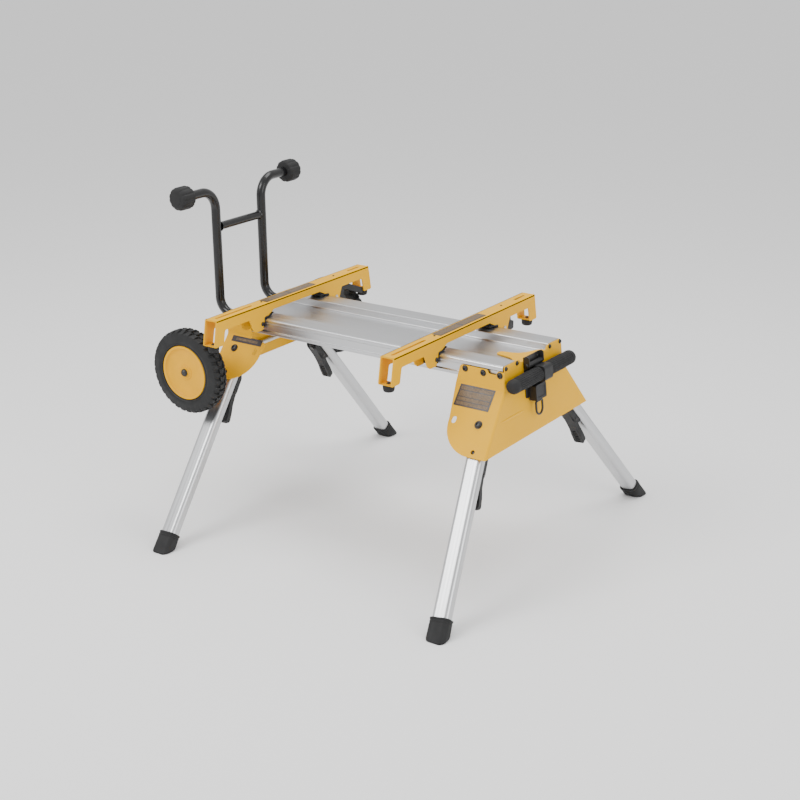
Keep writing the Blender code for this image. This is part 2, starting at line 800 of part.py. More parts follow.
def make_rail(name, x):
    """An inverted channel of folded sheet, closed round under each end drop."""
    across_x = Matrix(((0, 0, 1, 0), (1, 0, 0, 0), (0, 1, 0, 0), (0, 0, 0, 1)))
    half = RAIL_WIDTH / 2
    drop = RAIL_TOP - DROP_HEIGHT
    outline = flange_outline()
    rail = prism("side", outline, x - half, x - half + SHEET, "yellow_paint", across_x)
    other = prism("side", outline, x + half - SHEET, x + half, None, across_x)
    low = (x - half, -RAIL_HALF_LENGTH, RAIL_TOP - SHEET)
    high = (x + half, RAIL_HALF_LENGTH, RAIL_TOP)
    parts = [other, box("web", low, high)]
    for side in (-1, 1):
        edges = sorted((side * (RAIL_HALF_LENGTH + DROP_FLARE - 0.004), side * 0.2965))
        parts.append(
            box("floor", (x - half, edges[0], drop), (x + half, edges[1], drop + SHEET))
        )
    join(rail, *parts)
    for y, length in ((-0.2290, 0.138), (0.2680, 0.050)):
        place = Matrix.Translation((x, y, 0)) @ Matrix.Rotation(math.radians(90), 4, "Z")
        cut(rail, prism("slot", slot_outline(length, 0.0065), RAIL_TOP - 0.01, RAIL_TOP + 0.01, None, place))
    rail.name = name
    return rail


def make_rail_foot(x):
    y, z = -0.3100, RAIL_TOP - DROP_HEIGHT - GAP
    profile = [(0, z), (0.0140, z), (0.0142, z - 0.0030), (0.0122, z - 0.0150), (0, z - 0.0160)]
    return turned("foot", profile, "rubber", Matrix.Translation((x, y, 0)), 18)


def make_jaw(x, side):
    """A black wear block held between the claws, against the beam's side."""
    inner = BEAM_HALF_WIDTH + 2 * GAP
    outer = inner + 0.0130
    edges = sorted((side * inner, side * outer))
    half = RAIL_WIDTH / 2 - SHEET - GAP
    low = (x - half, edges[0], BEAM_TOP - 0.0250)
    high = (x + half, edges[1], BEAM_TOP - 0.0020)
    return box("jaw", low, high, "black_plastic")


CAM_Y = 0.1665
CAM_Z = 0.5120


def make_clamp_pin(x):
    """The cross pin that the clamp lever turns on, headed outside both claws."""
    half = RAIL_WIDTH / 2
    profile = [(0, half + 0.0030), (0.0055, half + 0.0025), (0.0055, half + GAP), (0.0030, half + GAP)]
    profile += [(r, -h) for r, h in reversed(profile)]
    turn = Matrix.Rotation(math.radians(90), 4, "Y")
    return turned("clamp_pin", profile, "zinc_steel", Matrix.Translation((x, CAM_Y, CAM_Z)) @ turn, 14)


def make_clamp_lever(x, drop):
    """A cam on the cross pin, with a handle that closes up into the channel, turned down by an angle."""
    across_x = Matrix(((0, 0, 1, 0), (1, 0, 0, 0), (0, 1, 0, 0), (0, 0, 0, 1)))
    half = RAIL_WIDTH / 2 - SHEET - 2 * GAP
    side = arc((0, 0), 0.0150, 120, 265, 10) + [
        (0.0100, -0.0150),
        (0.0460, -0.0150),
        (0.0505, -0.0110),
        (0.0505, 0.0030),
        (0.0460, 0.0065),
        (0.0370, 0.0110),
        (0.0350, 0.0190),
        (0.0400, 0.0262),
        (0.1180, 0.0262),
        (0.1215, 0.0295),
        (0.1205, 0.0390),
        (0.1160, 0.0425),
        (0.0300, 0.0425),
        (0.0060, 0.0270),
    ]
    angle = math.radians(drop)
    cos, sin = math.cos(angle), math.sin(angle)
    outline = [(CAM_Y + u * cos + v * sin, CAM_Z - u * sin + v * cos) for u, v in side]
    lever = prism("clamp_lever", outline, x - half, x + half, "black_plastic", across_x)
    ends = (x - 0.03, CAM_Y, CAM_Z), (x + 0.03, CAM_Y, CAM_Z)
    cut(lever, cylinder("bore", *ends, 0.0034, None, 12))
    return lever


def make_rails():
    for end, x, lever_drop in (("right", RIGHT_RAIL_X, 0.0), ("left", LEFT_RAIL_X, 22.0)):
        rail = make_rail(f"{end}_rail", x)
        pin_hole = (x - 0.03, CAM_Y, CAM_Z), (x + 0.03, CAM_Y, CAM_Z)
        cut(rail, cylinder("bore", *pin_hole, 0.0033, None, 16))
        pair(make_rail_foot(x), f"{end}_rail_foot")
        for side, word in ((-1, "near"), (1, "far")):
            make_jaw(x, side).name = f"{end}_rail_jaw_{word}"
        make_clamp_pin(x).name = f"{end}_rail_clamp_pin"
        make_clamp_lever(x, lever_drop).name = f"{end}_rail_clamp_lever"


# ------------------------------------------------------------------ handle


def handle_frame():
    """Origin on the handle's hinge, +X out of the leaning end plate, +Z up along it."""
    tilt = math.atan(RIGHT_LEAN)
    x = end_x(RIGHT_END, RIGHT_LEAN, HANDLE_Z)
    place = Matrix.Translation((x, 0, HANDLE_Z))
    return place @ Matrix.Rotation(-tilt, 4, "Y")


HINGE_OUT = 0.0100
EAR_Y = 0.0328
LATCH_OUT = 0.0155
RING_TOP = -0.0920


def make_handle_yoke(frame):
    """A steel plate on the end plate with two ears for the hinge pin."""
    edge = EAR_Y + 0.0015
    low, high = (GAP, HANDLE_MID - edge, -0.0795), (GAP + SHEET, HANDLE_MID + edge, 0.0195)
    plate = box("yoke", low, high, "black_steel")
    ears = []
    stand = Matrix(((1, 0, 0, 0), (0, 0, -1, 0), (0, 1, 0, 0), (0, 0, 0, 1)))
    for side in (-1, 1):
        outline = [(GAP, -0.0120), (HINGE_OUT + 0.0045, -0.0050), (HINGE_OUT + 0.0068, -0.0020)]
        outline += arc((HINGE_OUT, 0.0152), 0.0070, 0, 120, 5)
        outline += [(GAP, 0.0195)]
        middle = -HANDLE_MID - side * EAR_Y
        ears.append(prism("ear", outline, middle - 0.0015, middle + 0.0015, None, stand))
    yoke = join(plate, *ears)
    for side in (-1, 1):
        middle = HANDLE_MID + side * EAR_Y
        ends = (HINGE_OUT, middle - 0.006, 0), (HINGE_OUT, middle + 0.006, 0)
        cut(yoke, cylinder("bore", *ends, 0.0032, None, 16))
    yoke.data.transform(frame)
    yoke.name = "handle_yoke"
    return yoke


def make_handle_pin(frame):
    reach = EAR_Y + 0.0015
    profile = [(0, reach + 0.0030), (0.0050, reach + 0.0022), (0.0050, reach + GAP), (0.0029, reach + GAP)]
    profile += [(r, -h) for r, h in reversed(profile)]
    turn = Matrix.Translation((HINGE_OUT, HANDLE_MID, 0)) @ Matrix.Rotation(math.radians(90), 4, "X")
    return turned("handle_pin", profile, "zinc_steel", frame @ turn, 14)


def make_handle_arm(frame):
    """The swinging arm: a hinge barrel, a plate, a collar round the grip and a latch block."""
    half = EAR_Y - 0.0015 - 0.0005
    ends = (HINGE_OUT, HANDLE_MID - half, 0), (HINGE_OUT, HANDLE_MID + half, 0)
    barrel = cylinder("arm", *ends, 0.0060, "black_plastic", 20)
    back = GAP + SHEET + 0.0006
    low, high = (HINGE_OUT - 0.0035, GRIP_MID - 0.0185, -0.0775), (HINGE_OUT + 0.0035, GRIP_MID + 0.0090, -0.0020)
    web = box("web", low, high)
    centre_x, centre_z = GRIP_OUT, -GRIP_DROP
    ends = (centre_x, GRIP_MID - 0.0190, centre_z), (centre_x, GRIP_MID + 0.0190, centre_z)
    collar = cylinder("collar", *ends, 0.0190, None, 28)
    block = box("block", (back, HANDLE_MID - 0.0240, -0.0875), (0.0240, HANDLE_MID + 0.0240, -0.0495))
    arm = join(barrel, web, collar, block)
    bore = cylinder("bore", (HINGE_OUT, -0.09, 0), (HINGE_OUT, 0.09, 0), 0.0034, None, 16)
    grip = cylinder("grip_bore", (centre_x, -0.09, centre_z), (centre_x, 0.09, centre_z), 0.0095, None, 24)
    clear = box("clear", (-0.02, -0.09, -0.20), (back, 0.09, 0.05))
    ends = (LATCH_OUT, HANDLE_MID, -0.12), (LATCH_OUT, HANDLE_MID, -0.0615)
    plunger = cylinder("plunger_bore", *ends, 0.0048, None, 16)
    cut(arm, bore, grip, clear, plunger)
    arm.data.transform(frame)
    arm.name = "handle_arm"
    return arm


def make_grip(frame):
    """A grip tube through the arm's collar with a ribbed sleeve on each side."""
    neck, r, reach = 0.0092, GRIP_RADIUS, GRIP_HALF_LENGTH
    sleeve = 0.0190 + GAP
    half = [(0, reach), (r - 0.0035, reach), (r, reach - 0.0035), (r, sleeve), (neck, sleeve)]
    profile = half + [(radius, -h) for radius, h in reversed(half)]
    turn = Matrix.Translation((GRIP_OUT, GRIP_MID, -GRIP_DROP)) @ Matrix.Rotation(math.radians(90), 4, "X")
    return turned("handle_grip", profile, "rubber", frame @ turn, 28)


def make_latch(frame):
    """A plunger in the arm's block with the pull ring that hangs from it."""
    ends = (LATCH_OUT, HANDLE_MID, -0.0935), (LATCH_OUT, HANDLE_MID, -0.0655)
    plunger = cylinder("latch_pull_ring", *ends, 0.0044, "black_steel", 16)
    wide, tall, thick, corner = 0.0145, 0.0190, 0.0028, 0.0045
    ring = arc((wide - corner, RING_TOP - corner), corner, 90, 0, 4)
    ring += arc((0.0, RING_TOP - tall), wide, 0, -180, 12)
    ring += arc((-wide + corner, RING_TOP - corner), corner, 180, 90, 4)
    path = [Vector((LATCH_OUT, HANDLE_MID + y, z)) for y, z in ring]
    loop = tube("loop", path, thick, sides=2, closed=True)
    join(plunger, loop)
    plunger.data.transform(frame)
    return plunger


def make_handle():
    frame = handle_frame()
    make_handle_yoke(frame)
    make_handle_pin(frame).name = "handle_pin"
    make_handle_arm(frame)
    make_grip(frame)
    make_latch(frame)


def main():
    clear_scene()
    stand = make_collection("rolling_saw_stand")
    make_beam()
    make_right_bracket()
    make_left_bracket()
    make_gusset()
    make_bumper()
    make_legs()
    make_wheels()
    make_rails()
    make_handle()
    for obj in list(bpy.context.scene.collection.objects):
        bpy.context.scene.collection.objects.unlink(obj)
        stand.objects.link(obj)


main()
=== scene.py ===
"""Looks of the rolling saw stand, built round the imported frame. Metres, +Z up, "near" is -Y."""

import json
import math

import bmesh
import bpy
from mathutils import Matrix, Vector


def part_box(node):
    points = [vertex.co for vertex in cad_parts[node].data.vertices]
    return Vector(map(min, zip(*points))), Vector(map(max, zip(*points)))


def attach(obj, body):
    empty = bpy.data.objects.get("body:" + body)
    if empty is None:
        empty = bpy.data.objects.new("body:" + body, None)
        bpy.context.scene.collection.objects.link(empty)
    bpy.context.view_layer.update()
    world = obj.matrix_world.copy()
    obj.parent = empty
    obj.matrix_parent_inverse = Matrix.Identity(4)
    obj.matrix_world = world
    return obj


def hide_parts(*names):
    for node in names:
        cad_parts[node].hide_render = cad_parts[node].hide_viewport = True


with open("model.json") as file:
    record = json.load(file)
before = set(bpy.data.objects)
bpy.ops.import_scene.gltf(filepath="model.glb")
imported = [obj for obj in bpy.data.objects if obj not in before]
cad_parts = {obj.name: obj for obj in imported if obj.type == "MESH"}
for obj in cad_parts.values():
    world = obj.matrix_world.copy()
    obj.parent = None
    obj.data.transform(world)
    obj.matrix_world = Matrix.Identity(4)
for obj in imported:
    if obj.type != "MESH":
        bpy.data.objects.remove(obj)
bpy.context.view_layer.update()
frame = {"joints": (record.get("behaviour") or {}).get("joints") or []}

# Sizes shared with the frame.
GAP = 0.0003
SHEET = 0.003
PLATE_OFFSET = 0.0225
LOCK_RADIUS = 0.067
LEG_WIDTH = 0.043
LEG_DEPTH = 0.030
LEG_WALL = 0.0018
LEG_CORNER = 0.011
TUBE_STOP = 0.0260
AXLE_RADIUS = 0.006
POST_RADIUS = 0.012
RIGHT_LEAN = 0.10
WEB_DROP = 0.020
WEB_THICKNESS = 0.0032
TRACK_INNER = 0.0762
TRACK_WALL = 0.0022
# Sheet-metal folds and edges.
FOLD = 0.0045
RAIL_FOLD = 0.0040
RELIEF = 0.0052
EDGE = 0.0005
# Points round a screw, a washer or a nut.
ROUND = 36

JOINTS = {joint["name"]: joint for joint in frame["joints"]}
BEAM_LOW, BEAM_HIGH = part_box("beam")
BEAM_TOP = BEAM_HIGH.z
BEAM_BOTTOM = BEAM_LOW.z
BEAM_HALF_WIDTH = BEAM_HIGH.y
WEB_TOP = BEAM_TOP - WEB_DROP
RAIL_HALF = 0.3148
X_AXIS = Vector((1, 0, 0))
Y_AXIS = Vector((0, 1, 0))
Z_AXIS = Vector((0, 0, 1))
# Turns an outline in X and Y so that it lies in Y and Z, or in X and Z, and is extruded across.
ALONG_X = Matrix(((0, 0, 1, 0), (1, 0, 0, 0), (0, 1, 0, 0), (0, 0, 0, 1)))
UPRIGHT = Matrix(((1, 0, 0, 0), (0, 0, -1, 0), (0, 1, 0, 0), (0, 0, 0, 1)))
NEAR_SIDE = Matrix.Rotation(math.radians(90), 4, "X")


# ------------------------------------------------------------------ materials


def add_node(tree, kind, inputs=None, **settings):
    node = tree.nodes.new("ShaderNode" + kind)
    for name, value in settings.items():
        setattr(node, name, value)
    for name, value in (inputs or {}).items():
        node.inputs[name].default_value = value
    return node


def coordinates(tree, source, stretch):
    """The piece's own coordinates in metres: the row's frame, or the frame that it was built in."""
    if source == "local":
        output = add_node(tree, "Attribute", attribute_name="local").outputs["Vector"]
    else:
        output = add_node(tree, "TexCoord").outputs["Object"]
    mapping = add_node(tree, "Mapping", {"Scale": stretch})
    tree.links.new(output, mapping.inputs["Vector"])
    return mapping.outputs["Vector"]


def noise(tree, where, scale, detail=3.0, rough=0.5):
    node = add_node(tree, "TexNoise", {"Scale": scale, "Detail": detail, "Roughness": rough})
    tree.links.new(where, node.inputs["Vector"])
    return node.outputs["Fac"]


def remap(tree, value, low, high, to_low, to_high):
    inputs = {"From Min": low, "From Max": high, "To Min": to_low, "To Max": to_high}
    node = add_node(tree, "MapRange", inputs)
    tree.links.new(value, node.inputs["Value"])
    return node.outputs["Result"]


def mix_color(tree, factor, first, second):
    node = add_node(tree, "Mix", data_type="RGBA")
    tree.links.new(factor, node.inputs[0])
    for socket, value in ((node.inputs[6], first), (node.inputs[7], second)):
        if isinstance(value, tuple):
            socket.default_value = (*value, 1.0)
        else:
            tree.links.new(value, socket)
    return node.outputs[2]


def surface(
    name, color, roughness, metallic=0.0, source="object", tint=0.05, tint_scale=7.0, spread=0.05,
    rough_scale=45.0, bumps=(), stretch=(1, 1, 1), dust=0.0, dust_color=(0.42, 0.40, 0.36), coat=0.0,
    lines=0.0, shine=0.5,
):
    """A procedural material: tinted colour, uneven roughness, layered bump and a thin dust."""
    made = bpy.data.materials.new(name)
    made.use_nodes = True
    tree = made.node_tree
    shader = tree.nodes["Principled BSDF"]
    shader.inputs["Metallic"].default_value = metallic
    shader.inputs["Coat Weight"].default_value = coat
    shader.inputs["Coat Roughness"].default_value = 0.22
    shader.inputs["Specular IOR Level"].default_value = shine
    plain = coordinates(tree, source, (1, 1, 1))
    grain = coordinates(tree, source, stretch)
    dark = tuple(c * (1 - tint) for c in color)
    light = tuple(min(1.0, c * (1 + tint)) for c in color)
    shade = mix_color(tree, remap(tree, noise(tree, plain, tint_scale), 0.3, 0.7, 0, 1), dark, light)
    wear = noise(tree, grain, rough_scale, 4.0)
    uneven = remap(tree, wear, 0.3, 0.7, roughness - spread, roughness + spread)
    if lines:
        streaks = remap(tree, noise(tree, grain, 1.0, 5.0, 0.65), 0.35, 0.65, 0, 1)
        shade = mix_color(tree, streaks, tuple(c * (1 - lines) for c in color), shade)
    if dust:
        specks = remap(tree, noise(tree, plain, 90.0, 6.0, 0.7), 0.52, 0.72, 0, dust)
        shade = mix_color(tree, specks, shade, dust_color)
    tree.links.new(shade, shader.inputs["Base Color"])
    tree.links.new(uneven, shader.inputs["Roughness"])
    normal = None
    for scale, distance, strength in bumps:
        bump = add_node(tree, "Bump", {"Distance": distance, "Strength": strength})
        tree.links.new(noise(tree, grain, scale, 2.0), bump.inputs["Height"])
        if normal:
            tree.links.new(normal, bump.inputs["Normal"])
        normal = bump.outputs["Normal"]
    if normal:
        tree.links.new(normal, shader.inputs["Normal"])
    return made


def make_materials():
    """One material for each finish. Bump scales are in features per metre."""
    along_x = (1.2, 260.0, 260.0)
    return {
        "yellow_paint": surface(
            "yellow_powder_coat", (0.83, 0.43, 0.0), 0.46, tint=0.03,
            bumps=((520, 0.0004, 0.10), (2100, 0.0001, 0.12)), spread=0.05, dust=0.04,
            dust_color=(0.74, 0.40, 0.01), shine=0.15,
        ),
        "hub_plastic": surface(
            "yellow_moulded_plastic", (0.79, 0.39, 0.0), 0.44, tint=0.05, tint_scale=22, shine=0.18,
            bumps=((300, 0.0004, 0.08), (2600, 0.0001, 0.10)), dust=0.05, dust_color=(0.72, 0.36, 0.03),
        ),
        "aluminium": surface(
            "anodised_extrusion", (0.60, 0.605, 0.615), 0.36, 1.0, tint=0.03, stretch=along_x,
            rough_scale=1.0, spread=0.07, bumps=((1.0, 0.00012, 0.10),), lines=0.10,
        ),
        "leg_aluminium": surface(
            "anodised_tube", (0.63, 0.635, 0.645), 0.34, 1.0, source="local", tint=0.03,
            stretch=(1.6, 300.0, 300.0), rough_scale=1.0, spread=0.07,
            bumps=((1.0, 0.00012, 0.10),), lines=0.10,
        ),
        "black_tube": surface(
            "gloss_black_powder_coat", (0.006, 0.006, 0.0066), 0.24, shine=0.4, tint=0.10,
            bumps=((650, 0.0003, 0.10),), spread=0.05, dust=0.02, coat=0.15,
        ),
        "black_steel": surface(
            "black_oxide", (0.016, 0.0155, 0.015), 0.38, tint=0.15, tint_scale=60,
            bumps=((1500, 0.0001, 0.2),), dust=0.04, dust_color=(0.20, 0.13, 0.10),
        ),
        "zinc_steel": surface(
            "zinc_plate", (0.60, 0.60, 0.58), 0.32, 1.0, tint=0.08, tint_scale=80,
            bumps=((1200, 0.0001, 0.2),), spread=0.08,
        ),
        "rubber": surface(
            "moulded_rubber", (0.014, 0.014, 0.0145), 0.66, shine=0.35, tint=0.16, tint_scale=35, spread=0.08,
            bumps=((1500, 0.0002, 0.35), (320, 0.0003, 0.15)), dust=0.06, dust_color=(0.06, 0.06, 0.06),
        ),
        "tyre_rubber": surface(
            "tyre_rubber", (0.012, 0.0122, 0.0126), 0.60, shine=0.35, tint=0.18, tint_scale=30, spread=0.10,
            bumps=((1300, 0.0002, 0.35), (240, 0.0004, 0.15)), dust=0.08, dust_color=(0.06, 0.06, 0.06),
        ),
        "black_plastic": surface(
            "textured_black_plastic", (0.012, 0.012, 0.0126), 0.48, shine=0.35, tint=0.12, tint_scale=40,
            spread=0.06, bumps=((2300, 0.00015, 0.35),), dust=0.04, dust_color=(0.10, 0.10, 0.10),
        ),
        "label_frame": surface(
            "label_border", (0.022, 0.013, 0.010), 0.34, tint=0.10, bumps=((900, 0.0001, 0.1),), dust=0.05,
            dust_color=(0.12, 0.08, 0.04),
        ),
        "label_field": surface(
            "label_field", (0.115, 0.066, 0.022), 0.40, tint=0.55, tint_scale=330,
            bumps=((900, 0.0001, 0.1),), dust=0.35, dust_color=(0.30, 0.20, 0.07),
        ),
    }


MATERIALS = {}


# ----------------------------------------------------------------- outlines


def arc(centre, radius, start, end, steps):
    """Points on an arc from start to end, in degrees, both ends included."""
    angles = [math.radians(start + (end - start) * i / steps) for i in range(steps + 1)]
    return [(centre[0] + radius * math.cos(a), centre[1] + radius * math.sin(a)) for a in angles]


def rounded_box(width, height, radius, steps=8):
    w, h = width / 2 - radius, height / 2 - radius
    return (
        arc((w, h), radius, 0, 90, steps)
        + arc((-w, h), radius, 90, 180, steps)
        + arc((-w, -h), radius, 180, 270, steps)
        + arc((w, -h), radius, 270, 360, steps)
    )


def slot_outline(length, width, steps=10):
    reach, radius = (length - width) / 2, width / 2
    return arc((reach, 0), radius, -90, 90, steps) + arc((-reach, 0), radius, 90, 270, steps)


def fillet(corners, steps=5):
    """An outline from (x, y, radius) corners, each rounded by an arc of its radius."""
    outline = []
    count = len(corners)
    for i, (x, y, radius) in enumerate(corners):
        here = Vector((x, y))
        before = Vector(corners[i - 1][:2]) - here
        after = Vector(corners[(i + 1) % count][:2]) - here
        first, second = before.normalized(), after.normalized()
        half = math.acos(max(-1.0, min(1.0, first.dot(second)))) / 2
        if radius <= 0 or half > 1.55:
            outline.append((x, y))
            continue
        reach = min(radius / math.tan(half), 0.49 * before.length, 0.49 * after.length)
        radius = reach * math.tan(half)
        centre = here + (first + second).normalized() * radius / math.sin(half)
        start, end = here + first * reach - centre, here + second * reach - centre
        angle = math.atan2(start.y, start.x)
        turn = (math.atan2(end.y, end.x) - angle + math.pi) % (2 * math.pi) - math.pi
        pieces = max(1, math.ceil(steps * abs(turn) / math.radians(90)))
        for k in range(pieces + 1):
            a = angle + turn * k / pieces
            outline.append((centre.x + radius * math.cos(a), centre.y + radius * math.sin(a)))
    return outline


def reflect(corners):
    """Both halves of an outline that is symmetric about its second axis."""
    return corners + [(-c[0], *c[1:]) for c in reversed(corners)]


# ------------------------------------------------------------------- meshes


def link(name, mesh):
    obj = bpy.data.objects.new(name, mesh)
    bpy.context.scene.collection.objects.link(obj)
    return obj


def object_from(bm, name, place=None):
    bmesh.ops.remove_doubles(bm, verts=bm.verts, dist=0.000001)
    if place:
        bm.transform(place)
    bmesh.ops.recalc_face_normals(bm, faces=bm.faces)
    mesh = bpy.data.meshes.new(name)
    bm.to_mesh(mesh)
    bm.free()
    return link(name, mesh)


def add_rings(bm, rings, capped=True, looped=False):
    """Skins a run of rings that all have the same number of points."""
    made = [[bm.verts.new(p) for p in ring] for ring in rings]
    count = len(made[0])
    runs = list(zip(made, made[1:]))
    if looped:
        runs.append((made[-1], made[0]))
    for low, high in runs:
        for i in range(count):
            j = (i + 1) % count
            bm.faces.new((low[i], low[j], high[j], high[i]))
    if capped and not looped:
        bm.faces.new(reversed(made[0]))
        bm.faces.new(made[-1])


def loft(name, rings, capped=True, looped=False, place=None):
    bm = bmesh.new()
    add_rings(bm, rings, capped, looped)
    return object_from(bm, name, place)


def prism(name, outline, low, high, place=None):
    rings = [[(x, y, z) for x, y in outline] for z in (low, high)]
    return loft(name, rings, place=place)


def circle(radius, height, steps):
    turns = [2 * math.pi * i / steps for i in range(steps)]
    return [(radius * math.cos(a), radius * math.sin(a), height) for a in turns]


def lathe(name, profile, steps=64, place=None):
    """A profile of (radius, height) points turned about Z: a solid, or a ring if it keeps off the axis."""
    rings = [circle(r, h, steps) for r, h in profile]
    looped = profile[0][0] > 0 and profile[-1][0] > 0
    return loft(name, rings, False, looped, place)


def sweep_rings(points, radius, sides, looped=False):
    """Rings round a path, each turned as little as possible from the one before."""
    points = [Vector(p) for p in points]
    count = len(points)
    rings = []
    side = None
    for i, point in enumerate(points):
        before = points[i - 1] if i or looped else points[0]
        after = points[(i + 1) % count] if i + 1 < count or looped else points[-1]
        along = (after - before).normalized()
        if side is None:
            side = along.orthogonal().normalized()
        side = (side - along * side.dot(along)).normalized()
        other = along.cross(side)
        turns = [2 * math.pi * k / sides for k in range(sides)]
        rings.append([point + (side * math.cos(a) + other * math.sin(a)) * radius for a in turns])
    return rings


def sweep(name, points, radius, sides=24, looped=False):
    return loft(name, sweep_rings(points, radius, sides, looped), True, looped)


def bake(obj):
    graph = bpy.context.evaluated_depsgraph_get()
    mesh = bpy.data.meshes.new_from_object(obj.evaluated_get(graph))
    obj.modifiers.clear()
    obj.data = mesh
    return obj


def combine(obj, others, operation):
    for other in others:
        modifier = obj.modifiers.new("combine", "BOOLEAN")
        modifier.operation = operation
        modifier.solver = "EXACT"
        modifier.object = other
        bake(obj)
        bpy.data.objects.remove(other)
    return obj


def cut(obj, *others):
    return combine(obj, others, "DIFFERENCE")


def join(obj, *others):
    return combine(obj, others, "UNION")


def bevel(obj, width=EDGE, segments=2, angle=50):
    """Rounds the edges that are sharper than an angle."""
    modifier = obj.modifiers.new("edges", "BEVEL")
    modifier.width = width
    modifier.segments = segments
    modifier.limit_method = "ANGLE"
    modifier.angle_limit = math.radians(angle)
    modifier.use_clamp_overlap = False
    modifier.miter_outer = "MITER_ARC"
    return bake(obj)


def round_folds(bm, folds, radius):
    """Rounds the bends of folded sheet."""
    rounding = {"segments": 5, "profile": 0.5, "affect": "EDGES", "offset_type": "OFFSET"}
    bmesh.ops.bevel(bm, geom=folds, offset=radius, **rounding)


def shade(obj, angle=40):
    obj.data.shade_smooth()
    obj.data.set_sharp_from_angle(angle=math.radians(angle))
    modifier = obj.modifiers.new("normals", "WEIGHTED_NORMAL")
    modifier.keep_sharp = True
    return obj


def settle(obj, place):
    """Keeps the coordinates that the piece was built in as an attribute, then puts it in place."""
    mesh = obj.data
    local = mesh.attributes.new("local", "FLOAT_VECTOR", "POINT")
    values = [c for v in mesh.vertices for c in v.co]
    local.data.foreach_set("vector", values)
    mesh.transform(place)
    return obj


def mirrored(obj, name):
    """A copy on the other side of the plane Y = 0."""
    mesh = obj.data.copy()
    mesh.transform(Matrix.Diagonal((1, -1, 1, 1)))
    mesh.flip_normals()
    return link(name, mesh)


def add(obj, name, body, slot, nodes=(), finish=None, angle=40):
    """Names a piece and gives it its body, the material of its finish or slot, and smooth shading."""
    obj.name = name
    obj.data.materials.clear()
    obj.data.materials.append(MATERIALS[finish or slot])
    shade(obj, angle)
    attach(obj, body)
    if nodes:
        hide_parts(*nodes)
    return obj


def add_pair(obj, base, body, slot, node=None, finish=None, angle=40):
    """Adds a near piece and its far twin. A body or node name holds {side} where it differs."""
    far = mirrored(obj, base + "_far")
    for piece, side in ((obj, "near"), (far, "far")):
        nodes = [node.format(side=side)] if node else []
        add(piece, f"{base}_{side}", body.format(side=side), slot, nodes, finish, angle)


# --------------------------------------------------------------- fasteners


def facing(position, normal):
    """A matrix that puts a piece built on Z = 0 on a surface."""
    turn = Z_AXIS.rotation_difference(Vector(normal)).to_matrix().to_4x4()
    return Matrix.Translation(Vector(position)) @ turn


def turned_rings(profile, steps=ROUND):
    return [circle(radius, height, steps) for radius, height in profile]


def both_ends(profile):
    """A profile of (radius, height) points followed by its mirror image."""
    return profile + [(r, -h) for r, h in reversed(profile)]


def hexagon(across, height, steps=ROUND):
    """A hexagon with as many points as a circle, so that the two can be skinned together."""
    points = []
    for i in range(steps):
        a = 2 * math.pi * i / steps
        wedge = (a + math.pi / 6) % (math.pi / 3) - math.pi / 6
        r = across / math.cos(wedge)
        points.append((r * math.cos(a), r * math.sin(a), height))
    return points


def head_rings(radius, height):
    """Rings of a button-head screw with a hexagonal socket."""
    side = ((0.0001, -0.1), (1, -0.1), (1, 0.30), (0.95, 0.58), (0.82, 0.84), (0.64, 1.0))
    rings = turned_rings([(radius * r, height * h) for r, h in side])
    rings += [hexagon(radius * 0.46, height), hexagon(radius * 0.43, height * 0.35)]
    rings.append(circle(radius * 0.0001, height * 0.30, ROUND))
    return rings


def screws(name, body, spots, slot="black_steel", washer=True):
    """One piece that holds all the screws of a group, each (position, normal, radius)."""
    bm = bmesh.new()
    for position, normal, radius in spots:
        place = facing(position, normal)
        lift = 0.0
        if washer:
            lift = 0.0007
            disc = ((0.3, -0.0002), (1.22, -0.0002), (1.28, 0.0004), (1.22, lift), (0.3, lift))
            ring = turned_rings([(radius * r, h) for r, h in disc])
            add_rings(bm, [[place @ Vector(p) for p in r] for r in ring], False, True)
        rings = head_rings(radius, radius * 0.62)
        add_rings(bm, [[place @ (Vector(p) + Z_AXIS * lift) for p in r] for r in rings], False)
    return add(object_from(bm, name), name, body, slot)


# -------------------------------------------------------------------- places


def joint_point(name):
    return Vector(JOINTS[name]["pos_m"])


def joint_axis(name):
    return Vector(JOINTS[name]["axis"]).normalized()


def leg_frame(end):
    """A near leg's matrix: +X down the leg, +Y across it, +Z out through the side plate."""
    out = joint_axis(f"{end}_leg_fold_near") * (1 if end == "left" else -1)
    across = -joint_axis(f"{end}_release_near")
    along = across.cross(out)
    matrix = Matrix((along, across, out)).transposed().to_4x4()
    matrix.translation = joint_point(f"{end}_leg_fold_near")
    return matrix


def column(matrix, index):
    return matrix.col[index].to_3d()


# --------------------------------------------------------------------- beam


